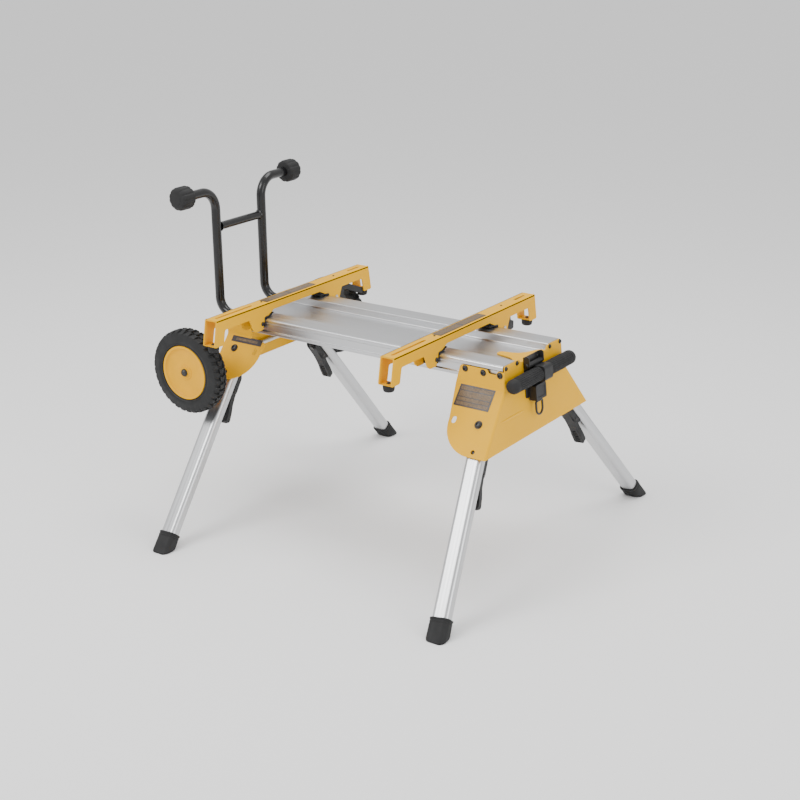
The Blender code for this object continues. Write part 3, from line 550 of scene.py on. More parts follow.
def make_beam():
    """The extrusion: two hollow tracks with rounded shoulders and recessed sides, and a web."""
    top, low, side = BEAM_TOP, BEAM_BOTTOM, BEAM_HALF_WIDTH
    half = [
        (TRACK_INNER, WEB_TOP, 0.0040),
        (TRACK_INNER, top, 0.0024),
        (side, top, 0.0055),
        (side, top - 0.0115, 0.0012),
        (side - 0.0034, top - 0.0135, 0.0020),
        (side - 0.0034, low + 0.0095, 0.0020),
        (side, low + 0.0075, 0.0012),
        (side, low, 0.0020),
        (TRACK_INNER, low, 0.0015),
        (TRACK_INNER, WEB_TOP - WEB_THICKNESS, 0.0025),
    ]
    beam = prism("beam_extrusion", fillet(reflect(half)), BEAM_LOW.x, BEAM_HIGH.x, ALONG_X)
    for sign in (-1, 1):
        edges = sorted((sign * (TRACK_INNER + 0.0018), sign * (side - 0.0052)))
        floor, roof = low + TRACK_WALL, top - TRACK_WALL
        corners = [(edges[0], floor), (edges[1], floor), (edges[1], roof), (edges[0], roof)]
        hollow = fillet([(*corner, 0.002) for corner in corners])
        cut(beam, prism("hollow", hollow, BEAM_LOW.x - 0.01, BEAM_HIGH.x + 0.01, ALONG_X))
    place = Matrix.Translation((0.118, 0, WEB_TOP))
    cut(beam, prism("slot", slot_outline(0.030, 0.0055), -0.02, 0.02, place))
    bevel(beam, 0.0003, 1, 60)
    add(beam, "beam_extrusion", "frame", "aluminium", ["beam"], angle=30)


# ----------------------------------------------------------------- brackets

BRACKETS = {
    "right": {
        "rim": 0.080, "strip": 0.098, "slant": 0.010,
        "plate": 0.098, "lean": RIGHT_LEAN, "end": 0.4266,
    },
    "left": {
        "rim": 0.086, "strip": 0.040, "slant": 0.0,
        "plate": 0.090, "lean": 0.0, "end": -0.4065,
    },
}


def end_x(end, z):
    spec = BRACKETS[end]
    return spec["end"] + math.copysign(spec["lean"], spec["end"]) * (BEAM_TOP - z)


def plate_point(end, x, down, lift=0.0):
    """A point over the near side plate's outer face: across from the leg's pivot, and down the slope."""
    leg = leg_frame(end)
    out = column(leg, 2)
    slope = X_AXIS.cross(out)
    point = leg.translation + out * (PLATE_OFFSET + lift) + slope * down
    return Vector((x, point.y, point.z))


def bracket_edge(wall, strip_top, web_edge):
    """The near half of an end plate's upper edge, in Y and Z, from the strip's fold to the middle."""
    lip = 0.004
    shoulder = []
    for a in (0, 0.52, 1.05, 1.57):
        shoulder.append((wall + RELIEF + lip - lip * math.cos(a), BEAM_TOP - lip + lip * math.sin(a)))
    return [
        (wall + RELIEF, strip_top),
        *shoulder,
        (-0.0690, BEAM_TOP),
        (-0.0660, BEAM_TOP - 0.0012),
        (-0.0590, web_edge + 0.0012),
        (-0.0560, web_edge),
    ]


def strip_outline(end, top, knee, strip_top, strip_x, upper_x, inboard):
    """The upright strip beside the beam, with a rounded free corner and, on the right, a dip."""
    wall, corner = top.y, 0.007
    strip = [top, knee, Vector((strip_x, wall, knee.z)), Vector((upper_x, wall, strip_top - corner))]
    for a in [math.radians(90 * i / 4) for i in range(1, 5)]:
        x = upper_x - inboard * corner * (1 - math.cos(a))
        strip.append(Vector((x, wall, strip_top - corner * (1 - math.sin(a)))))
    if end == "right":
        dip = [(0.3815, 0.0), (0.3835, -0.0012), (0.3870, -0.0078), (0.3895, -0.0092)]
        dip += [(0.4050, -0.0092), (0.4075, -0.0078), (0.4110, -0.0012), (0.4130, 0.0)]
        strip += [Vector((x, wall, strip_top + z)) for x, z in dip]
    return strip


def plate_outline(end, bottom, knee, knee_down, strip_x, inboard):
    """The sloping side plate: a round lower rim about the leg's pivot, and its free edge."""
    spec, pivot = BRACKETS[end], leg_frame(end).translation
    rim = arc((0, 0), spec["rim"], 90, 0, 16)
    plate = [knee, bottom, *[plate_point(end, pivot.x + inboard * u, v) for u, v in rim]]
    if spec["plate"] > spec["strip"] + 0.001:
        plate_x = pivot.x + inboard * spec["plate"]
        plate.append(plate_point(end, plate_x, knee_down + RELIEF + 0.006))
        plate.append(plate_point(end, plate_x - inboard * 0.006, knee_down + RELIEF))
        plate.append(plate_point(end, strip_x, knee_down + RELIEF))
    plate.append(Vector((strip_x, knee.y, knee.z)))
    return plate


def tongue_rows(root_x, vertex):
    """Rows of vertices of the tongue that curves back from the end plate and down on to the web."""
    stations = [
        (0.0000, 0.0560, 0.0105),
        (0.0100, 0.0590, 0.0100),
        (0.0200, 0.0560, 0.0088),
        (0.0290, 0.0460, 0.0070),
        (0.0390, 0.0320, 0.0052),
        (0.0520, 0.0205, 0.0040),
        (0.0680, 0.0150, 0.0036),
        (0.0860, 0.0120, 0.0035),
        (0.0930, 0.0100, 0.0035),
        (0.0970, 0.0060, 0.0035),
    ]
    rows = []
    for back, reach, height in stations:
        x, z = root_x - back, WEB_TOP + height
        rows.append([vertex((x, reach * k, z), 1) for k in (-1, -0.5, 0, 0.5, 1)])
    return rows


def bracket_surface(end):
    """The outer skin of an end bracket as one open mesh with rounded folds."""
    spec = BRACKETS[end]
    leg = leg_frame(end)
    out, pivot = column(leg, 2), leg.translation
    slope = X_AXIS.cross(out)
    inboard = -math.copysign(1.0, spec["end"])
    wall = -(BEAM_HALF_WIDTH + GAP + SHEET)
    knee_down = (wall - pivot.y - out.y * PLATE_OFFSET) / slope.y
    knee_z = plate_point(end, 0, knee_down).z
    strip_top = BEAM_TOP - 0.0130
    rim_z = plate_point(end, 0, spec["rim"]).z
    strip_x = pivot.x + inboard * spec["strip"]
    upper_x = strip_x - inboard * spec["slant"]
    web_edge = WEB_TOP + (0.0105 if end == "right" else 0.0035)

    bm = bmesh.new()
    made = {}

    def vertex(point, side):
        key = (round(point[0], 7), round(point[1] * side, 7), round(point[2], 7))
        if key not in made:
            made[key] = bm.verts.new(key)
        return made[key]

    bottom = plate_point(end, end_x(end, rim_z), spec["rim"])
    knee = Vector((end_x(end, knee_z), wall, knee_z))
    top = Vector((end_x(end, strip_top), wall, strip_top))
    edge = [Vector((end_x(end, z), y, z)) for y, z in bracket_edge(wall, strip_top, web_edge)]
    half = [bottom, knee, top] + edge
    face = [vertex(p, 1) for p in half] + [vertex(p, -1) for p in reversed(half)]
    bm.faces.new(face)
    folds = []
    strip = strip_outline(end, top, knee, strip_top, strip_x, upper_x, inboard)
    plate = plate_outline(end, bottom, knee, knee_down, strip_x, inboard)
    for side in (1, -1):
        for outline in (strip, plate):
            bm.faces.new([vertex(p, side) for p in outline])
        ends = [(bottom, knee), (knee, top), (knee, Vector((strip_x, wall, knee_z)))]
        folds += [bm.edges.get((vertex(a, side), vertex(b, side))) for a, b in ends]
    if end == "right":
        rows = tongue_rows(half[-1].x, vertex)
        base = rows[0]
        bm.faces.remove(bm.faces.get(face))
        middle = len(half)
        bm.faces.new(face[:middle] + base[1:4] + face[middle:])
        for first, second in zip(rows, rows[1:]):
            for k in range(4):
                bm.faces.new((first[k], first[k + 1], second[k + 1], second[k]))
        folds += [bm.edges.get((a, b)) for a, b in zip(base, base[1:])]
    bmesh.ops.recalc_face_normals(bm, faces=bm.faces)
    wide = max(bm.faces, key=lambda f: f.calc_area() * (abs(f.normal.x) > 0.9))
    if wide.normal.x * spec["end"] < 0:
        bmesh.ops.reverse_faces(bm, faces=bm.faces)
    round_folds(bm, folds, FOLD)
    mesh = bpy.data.meshes.new("bracket")
    bm.to_mesh(mesh)
    bm.free()
    return link("bracket", mesh)


def plate_cutters(end):
    """Pivot, lock and folded-position holes of both side plates."""
    leg = leg_frame(end)
    out = column(leg, 2)
    flat = Matrix((X_AXIS.cross(out), out.cross(X_AXIS.cross(out)), out)).transposed().to_4x4()
    flat.translation = leg.translation
    inboard = 1.0 if end == "left" else -1.0
    low, high = PLATE_OFFSET - 0.008, PLATE_OFFSET + 0.006
    stowed = Matrix.Translation((0, LOCK_RADIUS * inboard, 0))
    near = [
        prism("hole", arc((0, 0), 0.0045, 4, 349, 31), low, high, leg),
        prism("hole", arc((LOCK_RADIUS, 0), 0.0052, 4, 349, 31), low, high, leg),
        prism("hole", slot_outline(0.018, 0.012), low, high, flat @ stowed),
    ]
    return near + [mirrored(cutter, "hole") for cutter in near]


def make_bracket(end):
    bracket = bracket_surface(end)
    solid = bracket.modifiers.new("sheet", "SOLIDIFY")
    solid.thickness = SHEET
    solid.offset = -1.0
    solid.use_even_offset = True
    bake(bracket)
    cut(bracket, *plate_cutters(end))
    nodes = ["right_bracket", "right_gusset"] if end == "right" else ["left_bracket"]
    if end == "left":
        wheel = joint_point("wheel_spin_near")
        reach = abs(wheel.y)
        across = Matrix.Translation((wheel.x, 0, wheel.z)) @ NEAR_SIDE
        cut(bracket, prism("bore", arc((0, 0), AXLE_RADIUS + GAP, 4, 349, 31), -reach, reach, across))
        for sign in (-1, 1):
            place = Matrix.Translation((BRACKETS[end]["end"], sign * POST_Y, POST_FOOT_Z)) @ ALONG_X
            cut(bracket, prism("bore", arc((0, 0), POST_RADIUS + GAP, 4, 349, 31), -0.02, 0.02, place))
    bevel(bracket, EDGE, 2, 55)
    add(bracket, f"{end}_bracket_shell", "frame", "yellow_paint", nodes, angle=35)


def make_bracket_screws():
    """Screws through the strips and the right end plate."""
    wall = BEAM_HALF_WIDTH + GAP + SHEET
    spots = []
    for sign in (-1, 1):
        for x, drop in ((0.3235, 0.0205), (0.3725, 0.0225), (0.4175, 0.0215)):
            spots.append(((x, sign * wall, BEAM_TOP - drop), (0, sign, 0), 0.0062))
        for y, drop in ((0.1255, 0.0060), (0.0765, 0.0058)):
            z = BEAM_TOP - drop
            spots.append(((end_x("right", z), sign * y, z), (1, 0, RIGHT_LEAN), 0.0046))
    screws("right_bracket_screws", "frame", spots)
    spots = []
    for sign in (-1, 1):
        for x in (-0.3900, -0.3420):
            spots.append(((x, sign * wall, BEAM_TOP - 0.0215), (0, sign, 0), 0.0062))
        for y, drop in ((0.1255, 0.0060), (0.0455, 0.0330)):
            spots.append(((end_x("left", 0), sign * y, BEAM_TOP - drop), (-1, 0, 0), 0.0046))
    screws("left_bracket_screws", "frame", spots)


def make_bead():
    """A shallow pressed ridge along the right end plate's lower edge, beside the near leg."""
    start, end, z = -0.168, -0.060, 0.4000
    rings = []
    for share in [i / 16 for i in range(17)]:
        y = start + (end - start) * share
        swell = math.sin(math.pi * share) ** 0.35 if 0 < share < 1 else 0.02
        x = end_x("right", z)
        ring = [(x - 0.0010, y, z - 0.0040 * swell), (x - 0.0010, y, z + 0.0040 * swell)]
        for a in (0.4, 1.0, 1.57, 2.1, 2.7):
            ring.append((x + 0.0010 * swell * math.sin(a), y, z + 0.0036 * swell * math.cos(a)))
        rings.append(ring)
    bead = loft("bead", rings)
    add(bead, "right_bracket_bead", "frame", "yellow_paint", angle=60)


def label_pieces(name, body, place, width, height, panels):
    """A blank plate: a dark rounded border with plain fields. Panels are (x, y, width, height)."""
    border = prism("border", fillet_box(width, height, 0.0015), 0.00002, 0.0004, place)
    add(border, name, body, "black_plastic", finish="label_frame")
    bm = bmesh.new()
    for x, y, w, h in panels:
        outline = [(x + u, y + v) for u, v in fillet_box(w, h, 0.0008)]
        rings = [[place @ Vector((u, v, z)) for u, v in outline] for z in (0.0003, 0.0005)]
        add_rings(bm, rings)
    field = object_from(bm, name + "_field")
    add(field, name + "_field", body, "black_plastic", finish="label_field")


def fillet_box(width, height, radius):
    return rounded_box(width, height, radius, 3)


def plate_label_place(end, x, down):
    """Where a label lies on the near side plate: +X along the plate, +Y up its slope."""
    leg = leg_frame(end)
    out = column(leg, 2)
    up = out.cross(X_AXIS)
    place = Matrix((X_AXIS, up, out)).transposed().to_4x4()
    place.translation = plate_point(end, leg.translation.x + x, down)
    return place


def make_labels():
    width, height = 0.0950, 0.0545
    place = plate_label_place("right", -0.0352, -0.0617)
    levels = ((0.0185, 0.0085), (0.0045, 0.0140), (-0.0090, 0.0085), (-0.0195, 0.0080))
    rows = [(0.0, y, 0.0860, tall) for y, tall in levels]
    label_pieces("right_bracket_label", "frame", place, width, height, rows)
    place = plate_label_place("left", 0.0300, -0.0258)
    label_pieces("left_bracket_label", "frame", place, 0.0980, 0.0175, [(0.0, 0.0, 0.0700, 0.0060)])
    for end in ("right", "left"):
        low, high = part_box(f"{end}_rail")
        middle = Matrix.Translation(((low.x + high.x) / 2, -0.0135, high.z))
        place = middle @ Matrix.Rotation(math.radians(90), 4, "Z")
        fields = [(-0.0500, 0.0, 0.0940, 0.0200), (0.0500, 0.0, 0.0940, 0.0200)]
        label_pieces(f"{end}_rail_label", f"{end}_rail", place, 0.2030, 0.0260, fields)


# ------------------------------------------------------------------- bumper

KNOB_LOW, KNOB_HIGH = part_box("bumper_knob_near")
POST_X = (KNOB_LOW.x + KNOB_HIGH.x) / 2
POST_TOP_Z = (KNOB_LOW.z + KNOB_HIGH.z) / 2
POST_LOW, POST_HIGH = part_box("bumper_post_near")
POST_Y = -(POST_HIGH.y - POST_RADIUS)
POST_FOOT_Z = POST_LOW.z + POST_RADIUS


def make_posts():
    low_bend, high_bend, steps = 0.040, 0.050, 20
    path = [Vector((POST_HIGH.x, -POST_Y, POST_FOOT_Z))]
    for u, v in arc((POST_X + low_bend, POST_FOOT_Z + low_bend), low_bend, 270, 180, steps):
        path.append(Vector((u, -POST_Y, v)))
    for u, v in arc((-POST_Y - high_bend, POST_TOP_Z - high_bend), high_bend, 0, 90, steps):
        path.append(Vector((POST_X, u, v)))
    path.append(Vector((POST_X, POST_LOW.y, POST_TOP_Z)))
    add_pair(sweep("post", path, POST_RADIUS, 32), "bumper_tube", "frame", "black_tube", "bumper_post_{side}")


def make_crossbar():
    """The cross tube with a small weld fillet where it meets each post."""
    low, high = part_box("bumper_crossbar")
    radius = (high.x - low.x) / 2
    reach = high.y
    weld = [(radius + 0.0030, reach), (radius + 0.0018, reach - 0.0022), (radius, reach - 0.0055)]
    profile = both_ends([(0, reach), *weld])
    place = Matrix.Translation(((low.x + high.x) / 2, 0, (low.z + high.z) / 2)) @ NEAR_SIDE
    bar = lathe("crossbar", profile, 40, place)
    add(bar, "bumper_cross_tube", "frame", "black_tube", ["bumper_crossbar"])


def make_knobs():
    """Rubber knobs with shallow flutes round the side and a low dome on the end."""
    radius = (KNOB_HIGH.x - KNOB_LOW.x) / 2
    outer, inner = -KNOB_LOW.y, -KNOB_HIGH.y
    steps, flutes = 96, 12
    profile = [(0, outer), (0.0070, outer - 0.0001), (0.0135, outer - 0.0009), (0.0140, outer - 0.0016)]
    profile += [(0.0150, outer - 0.0014)]
    profile += arc((radius - 0.0110, outer - 0.0125), 0.0110, 78, 0, 7)
    profile += [(radius, inner + 0.0150)]
    profile += arc((radius - 0.0080, inner + 0.0085), 0.0080, -8, -80, 6)
    bore, bore_end = POST_RADIUS + GAP, outer - 0.0115
    profile += [(0.0165, inner + 0.0004), (0.0150, inner), (bore, inner), (bore, bore_end), (0, bore_end)]
    rings = []
    for r, h in profile:
        share = max(0.0, min(1.0, (r - 0.0170) / 0.0080))
        ring = []
        for i in range(steps):
            a = 2 * math.pi * i / steps
            dip = 0.0016 * share * max(0.0, math.cos(flutes * a)) ** 2
            ring.append(((r - dip) * math.cos(a), (r - dip) * math.sin(a), h))
        rings.append(ring)
    place = Matrix.Translation((POST_X, 0, POST_TOP_Z)) @ NEAR_SIDE
    knob = loft("knob", rings, False, False, place)
    add_pair(knob, "bumper_grip_knob", "frame", "rubber", "bumper_knob_{side}")


# --------------------------------------------------------------------- legs

LEVER_PIVOT = (0.1050, -0.0240)
LEVER_TIP = 0.1860
LEVER_STAND_OFF = math.radians(12.0)


def leg_length(leg):
    return -leg.translation.z / leg[2][0]


def make_leg_tube(end, leg, length):
    low, high = -0.0165, length - TUBE_STOP
    inset = 0.0004
    rings = []
    for x, shrink in ((low, inset), (low + inset, 0), (high, 0), (high, LEG_WALL), (low, LEG_WALL)):
        outline = rounded_box(LEG_WIDTH - 2 * shrink, LEG_DEPTH - 2 * shrink, LEG_CORNER - shrink, 8)
        rings.append([(x, u, v) for u, v in outline])
    tube = loft("tube", rings, False, True)
    for x in (0.0, LOCK_RADIUS):
        bore = prism("bore", arc((x, 0), 0.0046, 4, 349, 23), -0.03, 0.03)
        cut(tube, bore)
    settle(tube, leg)
    body, node = f"{end}_leg_{{side}}", f"{end}_leg_tube_{{side}}"
    add_pair(tube, f"{end}_leg_extrusion", body, "leg_aluminium", node, angle=30)


def make_leg_foot(end, leg, length):
    """A rubber boot: a lipped collar, two low ridges, and a sole cut level with the floor."""
    stop = length - TUBE_STOP
    start = stop - 0.0205
    wide, deep, corner = LEG_WIDTH + 0.0080, LEG_DEPTH + 0.0080, 0.0145
    across, out, along = column(leg, 1), column(leg, 2), column(leg, 0)

    def outline(grow):
        return rounded_box(wide + 2 * grow, deep + 2 * grow, corner + grow, 8)

    def level(x, grow):
        return [(x, u, v) for u, v in outline(grow)]

    def near_floor(height, grow):
        """The outline where it meets a height above the floor."""
        ring = []
        for u, v in outline(grow):
            start_z = leg.translation.z + across.z * u + out.z * v
            ring.append(((height - start_z) / along.z, u, v))
        return ring

    inner = rounded_box(LEG_WIDTH + 2 * GAP, LEG_DEPTH + 2 * GAP, LEG_CORNER + GAP, 8)
    rings = [[(stop + GAP, 0.0, 0.0)] * len(inner), [(stop + GAP, u, v) for u, v in inner]]
    rings += [[(start, u, v) for u, v in inner], level(start, -0.0016), level(start + 0.0006, -0.0002)]
    rings += [level(start + 0.0016, 0.0004), level(start + 0.0040, 0.0004), level(start + 0.0048, -0.0007)]
    rings += [level(start + 0.0085, -0.0009), level(start + 0.0092, 0.0), level(start + 0.0108, 0.0)]
    rings += [level(start + 0.0115, -0.0008), level(start + 0.0170, -0.0004)]
    sole = ((0.0065, 0.0), (0.0030, -0.0002), (0.0011, -0.0012), (0.0, -0.0032))
    rings += [near_floor(height, grow) for height, grow in sole]
    centre = sum((Vector(p) for p in rings[-1]), Vector()) / len(inner)
    rings.append([tuple(centre)] * len(inner))
    foot = loft("foot", rings, False, False, leg)
    body, node = f"{end}_leg_{{side}}", f"{end}_leg_foot_{{side}}"
    add_pair(foot, f"{end}_leg_boot", body, "rubber", node, angle=50)


def make_pivot_bolt(end, leg):
    """A black pivot screw with washers, the spacer behind the plate, and the lock nut inside."""
    outer, half = PLATE_OFFSET, LEG_DEPTH / 2
    inner = outer - SHEET - GAP
    bore, shank, washer_top = 0.0042, 0.0040, outer + 0.0012
    spacer = [(0.0090, inner), (0.0092, inner - 0.0004), (0.0092, half + GAP + 0.0004)]
    spacer += [(0.0090, half + GAP), (bore, half + GAP), (bore, inner)]
    rod = [(0.0001, outer - 0.001), (shank, outer - 0.001), (shank, -half - 0.009), (0.0001, -half - 0.0095)]
    washer = [(bore, outer + 0.0001), (0.0098, outer + 0.0001), (0.0102, outer + 0.0006)]
    washer += [(0.0098, washer_top), (bore, washer_top)]
    nut = [circle(bore, -half - GAP, ROUND)]
    for across, depth in ((0.0070, GAP), (0.0076, 0.0010), (0.0076, 0.0058), (0.0068, 0.0066)):
        nut.append(hexagon(across, -half - depth))
    nut.append(circle(bore, -half - 0.0078, ROUND))
    bm = bmesh.new()
    add_rings(bm, turned_rings(spacer), False, True)
    add_rings(bm, turned_rings(rod), False)
    add_rings(bm, turned_rings(washer), False, True)
    head = [[(x, y, z + washer_top) for x, y, z in ring] for ring in head_rings(0.0084, 0.0046)]
    add_rings(bm, head, False)
    add_rings(bm, nut, False, True)
    bolt = object_from(bm, "bolt", leg)
    node = f"{end}_leg_pivot_bolt_{{side}}"
    add_pair(bolt, f"{end}_leg_pivot_screw", "frame", "black_steel", node)


def make_lever(end, leg):
    """The release lever: a forked head, a waist and a round-ended paddle with a raised rim."""
    px, pz = LEVER_PIVOT
    reach = LEVER_TIP - px
    drop = reach * math.sin(LEVER_STAND_OFF)
    tip = px + reach * math.cos(LEVER_STAND_OFF)
    half = 0.0038
    side = fillet(
        [
            (LOCK_RADIUS - 0.0115, pz + half, 0.0015),
            (px - 0.0080, pz + half, 0.004),
            (px + 0.0060, pz + 0.0048, 0.010),
            (tip - 0.0030, pz - drop + 0.0056, 0.005),
            (tip + 0.0010, pz - drop - 0.0020, 0.004),
            (tip - 0.0050, pz - drop - 0.0086, 0.005),
            (px + 0.0100, pz - 0.0120, 0.020),
            (px - 0.0100, pz - 0.0090, 0.014),
            (LOCK_RADIUS - 0.0060, pz - half - 0.0010, 0.004),
            (LOCK_RADIUS - 0.0115, pz - half, 0.0015),
        ],
        6,
    )
    lever = prism("lever", side, -0.0150, 0.0150, UPRIGHT)
    near = [
        (LOCK_RADIUS - 0.0120, 0.0090, 0.006),
        (LOCK_RADIUS + 0.0080, 0.0128, 0.010),
        (px + 0.0020, 0.0128, 0.012),
        (px + 0.0280, 0.0118, 0.020),
        (px + 0.0500, 0.0142, 0.020),
        (tip + 0.0010, 0.0144, 0.0120),
    ]
    plan = fillet(near + [(x, -y, r) for x, y, r in reversed(near)], 8)
    combine(lever, [prism("keep", plan, -0.08, 0.02)], "INTERSECT")
    # A shallow dish in the paddle's outer face, set in from its rim.
    slope = Matrix.Translation((px, 0, pz - 0.0052)) @ Matrix.Rotation(LEVER_STAND_OFF, 4, "Y")
    corners = [(0.0330, 0.0062, 0.006), (0.0330, -0.0062, 0.006), (0.0740, -0.0074, 0.0070)]
    dish = fillet([*corners, (0.0740, 0.0074, 0.0070)], 6)
    cut(lever, prism("dish", dish, -0.0120, -0.0022, slope))
    fork = Matrix.Translation((LOCK_RADIUS, 0, 0))
    cut(lever, prism("slot", slot_outline(0.0120, 0.0094), -0.05, 0.0, fork))
    across = Matrix.Translation((px, 0, pz)) @ NEAR_SIDE
    cut(lever, prism("bore", arc((0, 0), 0.0028, 3, 350, 19), -0.02, 0.02, across))
    bevel(lever, 0.0008, 2, 45)
    ridges = []
    for k in range(4):
        x = 0.0400 + 0.0085 * k
        outline = slot_outline(0.0095, 0.0018, 4)
        across = slope @ Matrix.Translation((x, 0, 0)) @ Matrix.Rotation(math.radians(90), 4, "Z")
        ridges.append(prism("ridge", outline, -0.0040, -0.0016, across))
    join(lever, *ridges)
    lever.data.transform(leg)
    body, node = f"{end}_release_lever_{{side}}", f"{end}_leg_release_lever_{{side}}"
    add_pair(lever, f"{end}_leg_squeeze_lever", body, "black_plastic", node, angle=45)


def make_lever_mount(end, leg):
    """Rounded cheeks on the leg's inner face, a thin base, and the pin that the lever rocks on."""
    px, pz = LEVER_PIVOT
    face = -LEG_DEPTH / 2 - GAP
    cheek = fillet(
        [
            (px - 0.0520, face, 0.001),
            (px - 0.0540, pz + 0.0010, 0.006),
            (px - 0.0420, pz - 0.0065, 0.008),
            (px - 0.0020, pz - 0.0078, 0.012),
            (px + 0.0150, pz - 0.0010, 0.010),
            (px + 0.0190, face, 0.001),
        ],
        6,
    )
    pieces = []
    for sign in (-1, 1):
        edges = sorted((sign * 0.0138, sign * 0.0162))
        pieces.append(prism("cheek", cheek, -edges[1], -edges[0], UPRIGHT))
    back, front, wide = px - 0.0520, px + 0.0180, 0.0162
    sides = [(back, -wide), (front, -wide), (front, wide), (back, wide)]
    base = prism("base", sides, face - 0.0016, face)
    middle = Matrix.Translation((LOCK_RADIUS, 0, 0))
    slot = prism("slot", slot_outline(0.020, 0.016), face - 0.01, face + 0.01, middle)
    cut(base, slot)
    mount = join(base, *pieces)
    bevel(mount, 0.0006, 2, 50)
    mount.data.transform(leg)
    body, node = f"{end}_leg_{{side}}", f"{end}_leg_lever_mount_{{side}}"
    add_pair(mount, f"{end}_leg_lever_housing", body, "black_plastic", node, angle=45)
    profile = both_ends([(0, 0.0176), (0.0036, 0.0172), (0.0040, 0.0164), (0.0025, 0.0163)])
    pin = lathe("pin", profile, 28, leg @ Matrix.Translation((px, 0, pz)) @ NEAR_SIDE)
    add_pair(pin, f"{end}_leg_lever_pin", body, "black_steel")


def make_lock_pin(end, leg):
    x = LOCK_RADIUS
    back = LEVER_PIVOT[1] - 0.0035
    front = PLATE_OFFSET - SHEET
    profile = [(0, front - GAP), (0.0026, front - GAP), (0.0038, front - 0.0008), (0.0041, front - 0.0020)]
    profile += [(0.0041, back - 0.0022), (0.0064, back - 0.0022), (0.0068, back - 0.0026)]
    profile += [(0.0068, back - 0.0046), (0.0064, back - 0.0050), (0, back - 0.0050)]
    pin = lathe("pin", profile, 32, leg @ Matrix.Translation((x, 0, 0)))
    body, node = f"{end}_lock_pin_{{side}}", f"{end}_leg_lock_pin_{{side}}"
    add_pair(pin, f"{end}_leg_locking_pin", body, "zinc_steel", node, "black_steel")


def make_legs():
    for end in ("right", "left"):
        leg = leg_frame(end)
        length = leg_length(leg)
        make_leg_tube(end, leg, length)
        make_leg_foot(end, leg, length)
        make_pivot_bolt(end, leg)
        make_lever(end, leg)
        make_lever_mount(end, leg)
        make_lock_pin(end, leg)


# ------------------------------------------------------------------- wheels

TYRE_LOW, TYRE_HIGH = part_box("wheel_tyre_near")
WHEEL = joint_point("wheel_spin_near")
TYRE_RADIUS = (TYRE_HIGH.z - TYRE_LOW.z) / 2
TYRE_HALF = (TYRE_HIGH.y - TYRE_LOW.y) / 2
WHEEL_Y = -(TYRE_LOW.y + TYRE_HIGH.y) / 2
HUB_RADIUS = 0.0697
WHEEL_PLACE = Matrix.Translation((WHEEL.x, 0, WHEEL.z)) @ NEAR_SIDE


def tyre_profile():
    """Points across the tyre as (carcass, tread top, row), each place a (radius, offset) pair."""
    half, r = TYRE_HALF, TYRE_RADIUS + 0.0024
    bead = 0.0628
    side = [
        ((bead, half - 0.0060), None, None),
        ((HUB_RADIUS + 0.0014, half - 0.0042), None, None),
        ((HUB_RADIUS + 0.0020, half - 0.0012), None, None),
        ((HUB_RADIUS + 0.0034, half - 0.0002), None, None),
        ((HUB_RADIUS + 0.0056, half - 0.0004), None, None),
        ((HUB_RADIUS + 0.0066, half - 0.0012), None, None),
        ((HUB_RADIUS + 0.0110, half + 0.0004), None, None),
        ((HUB_RADIUS + 0.0160, half + 0.0002), None, None),
        ((HUB_RADIUS + 0.0200, half - 0.0010), None, None),
    ]
    bend, deep = 0.0160, 0.0042
    shoulder = []
    for angle, depth in ((62, 0.0006), (50, 0.0016), (38, 0.0028), (26, 0.0038), (14, deep)):
        a = math.radians(angle)
        centre = (r - bend, half - bend)
        top = (centre[0] + bend * math.cos(a), centre[1] + bend * math.sin(a))
        low = (centre[0] + (bend - depth) * math.cos(a), centre[1] + (bend - depth) * math.sin(a))
        shoulder.append((low, top, "A"))
    crown = []
    for offset, row in ((0.0104, "A"), (0.0098, None), (0.0078, None), (0.0072, "B")):
        crown.append(((r - deep, offset), (r - 0.0002, offset), row))
    near = side + shoulder + crown
    middle = [((r - deep, 0.0), (r, 0.0), "B")]
    far = [((a[0], -a[1]), (b[0], -b[1]) if b else None, row) for a, b, row in reversed(near)]
    far[-1] = ((bead, -half + 0.0040), None, None)
    return near + middle + far


def make_tyre():
    """A tyre with three rows of staggered, slanted blocks cut into one skin."""
    lugs = 34
    shares = (0.00, 0.06, 0.12, 0.18, 0.50, 0.56, 0.62, 0.68)
    raised = {"A": (0.06, 0.12, 0.18, 0.50, 0.56, 0.62), "B": (0.56, 0.62, 0.68, 0.00, 0.06, 0.12)}
    rings = []
    for carcass, top, row in tyre_profile():
        ring = []
        slant = 0.45 * min(1.0, abs(carcass[1]) / 0.024)
        for lug in range(lugs):
            for share in shares:
                up = row is not None and share in raised[row]
                r, offset = top if up else carcass
                a = 2 * math.pi * (lug + share + slant) / lugs
                ring.append((r * math.cos(a), r * math.sin(a), WHEEL_Y + offset))
        rings.append(ring)
    tyre = loft("tyre", rings, False, True, WHEEL_PLACE)
    add_pair(tyre, "wheel_tread_tyre", "wheel_{side}", "tyre_rubber", "wheel_tyre_{side}", angle=32)


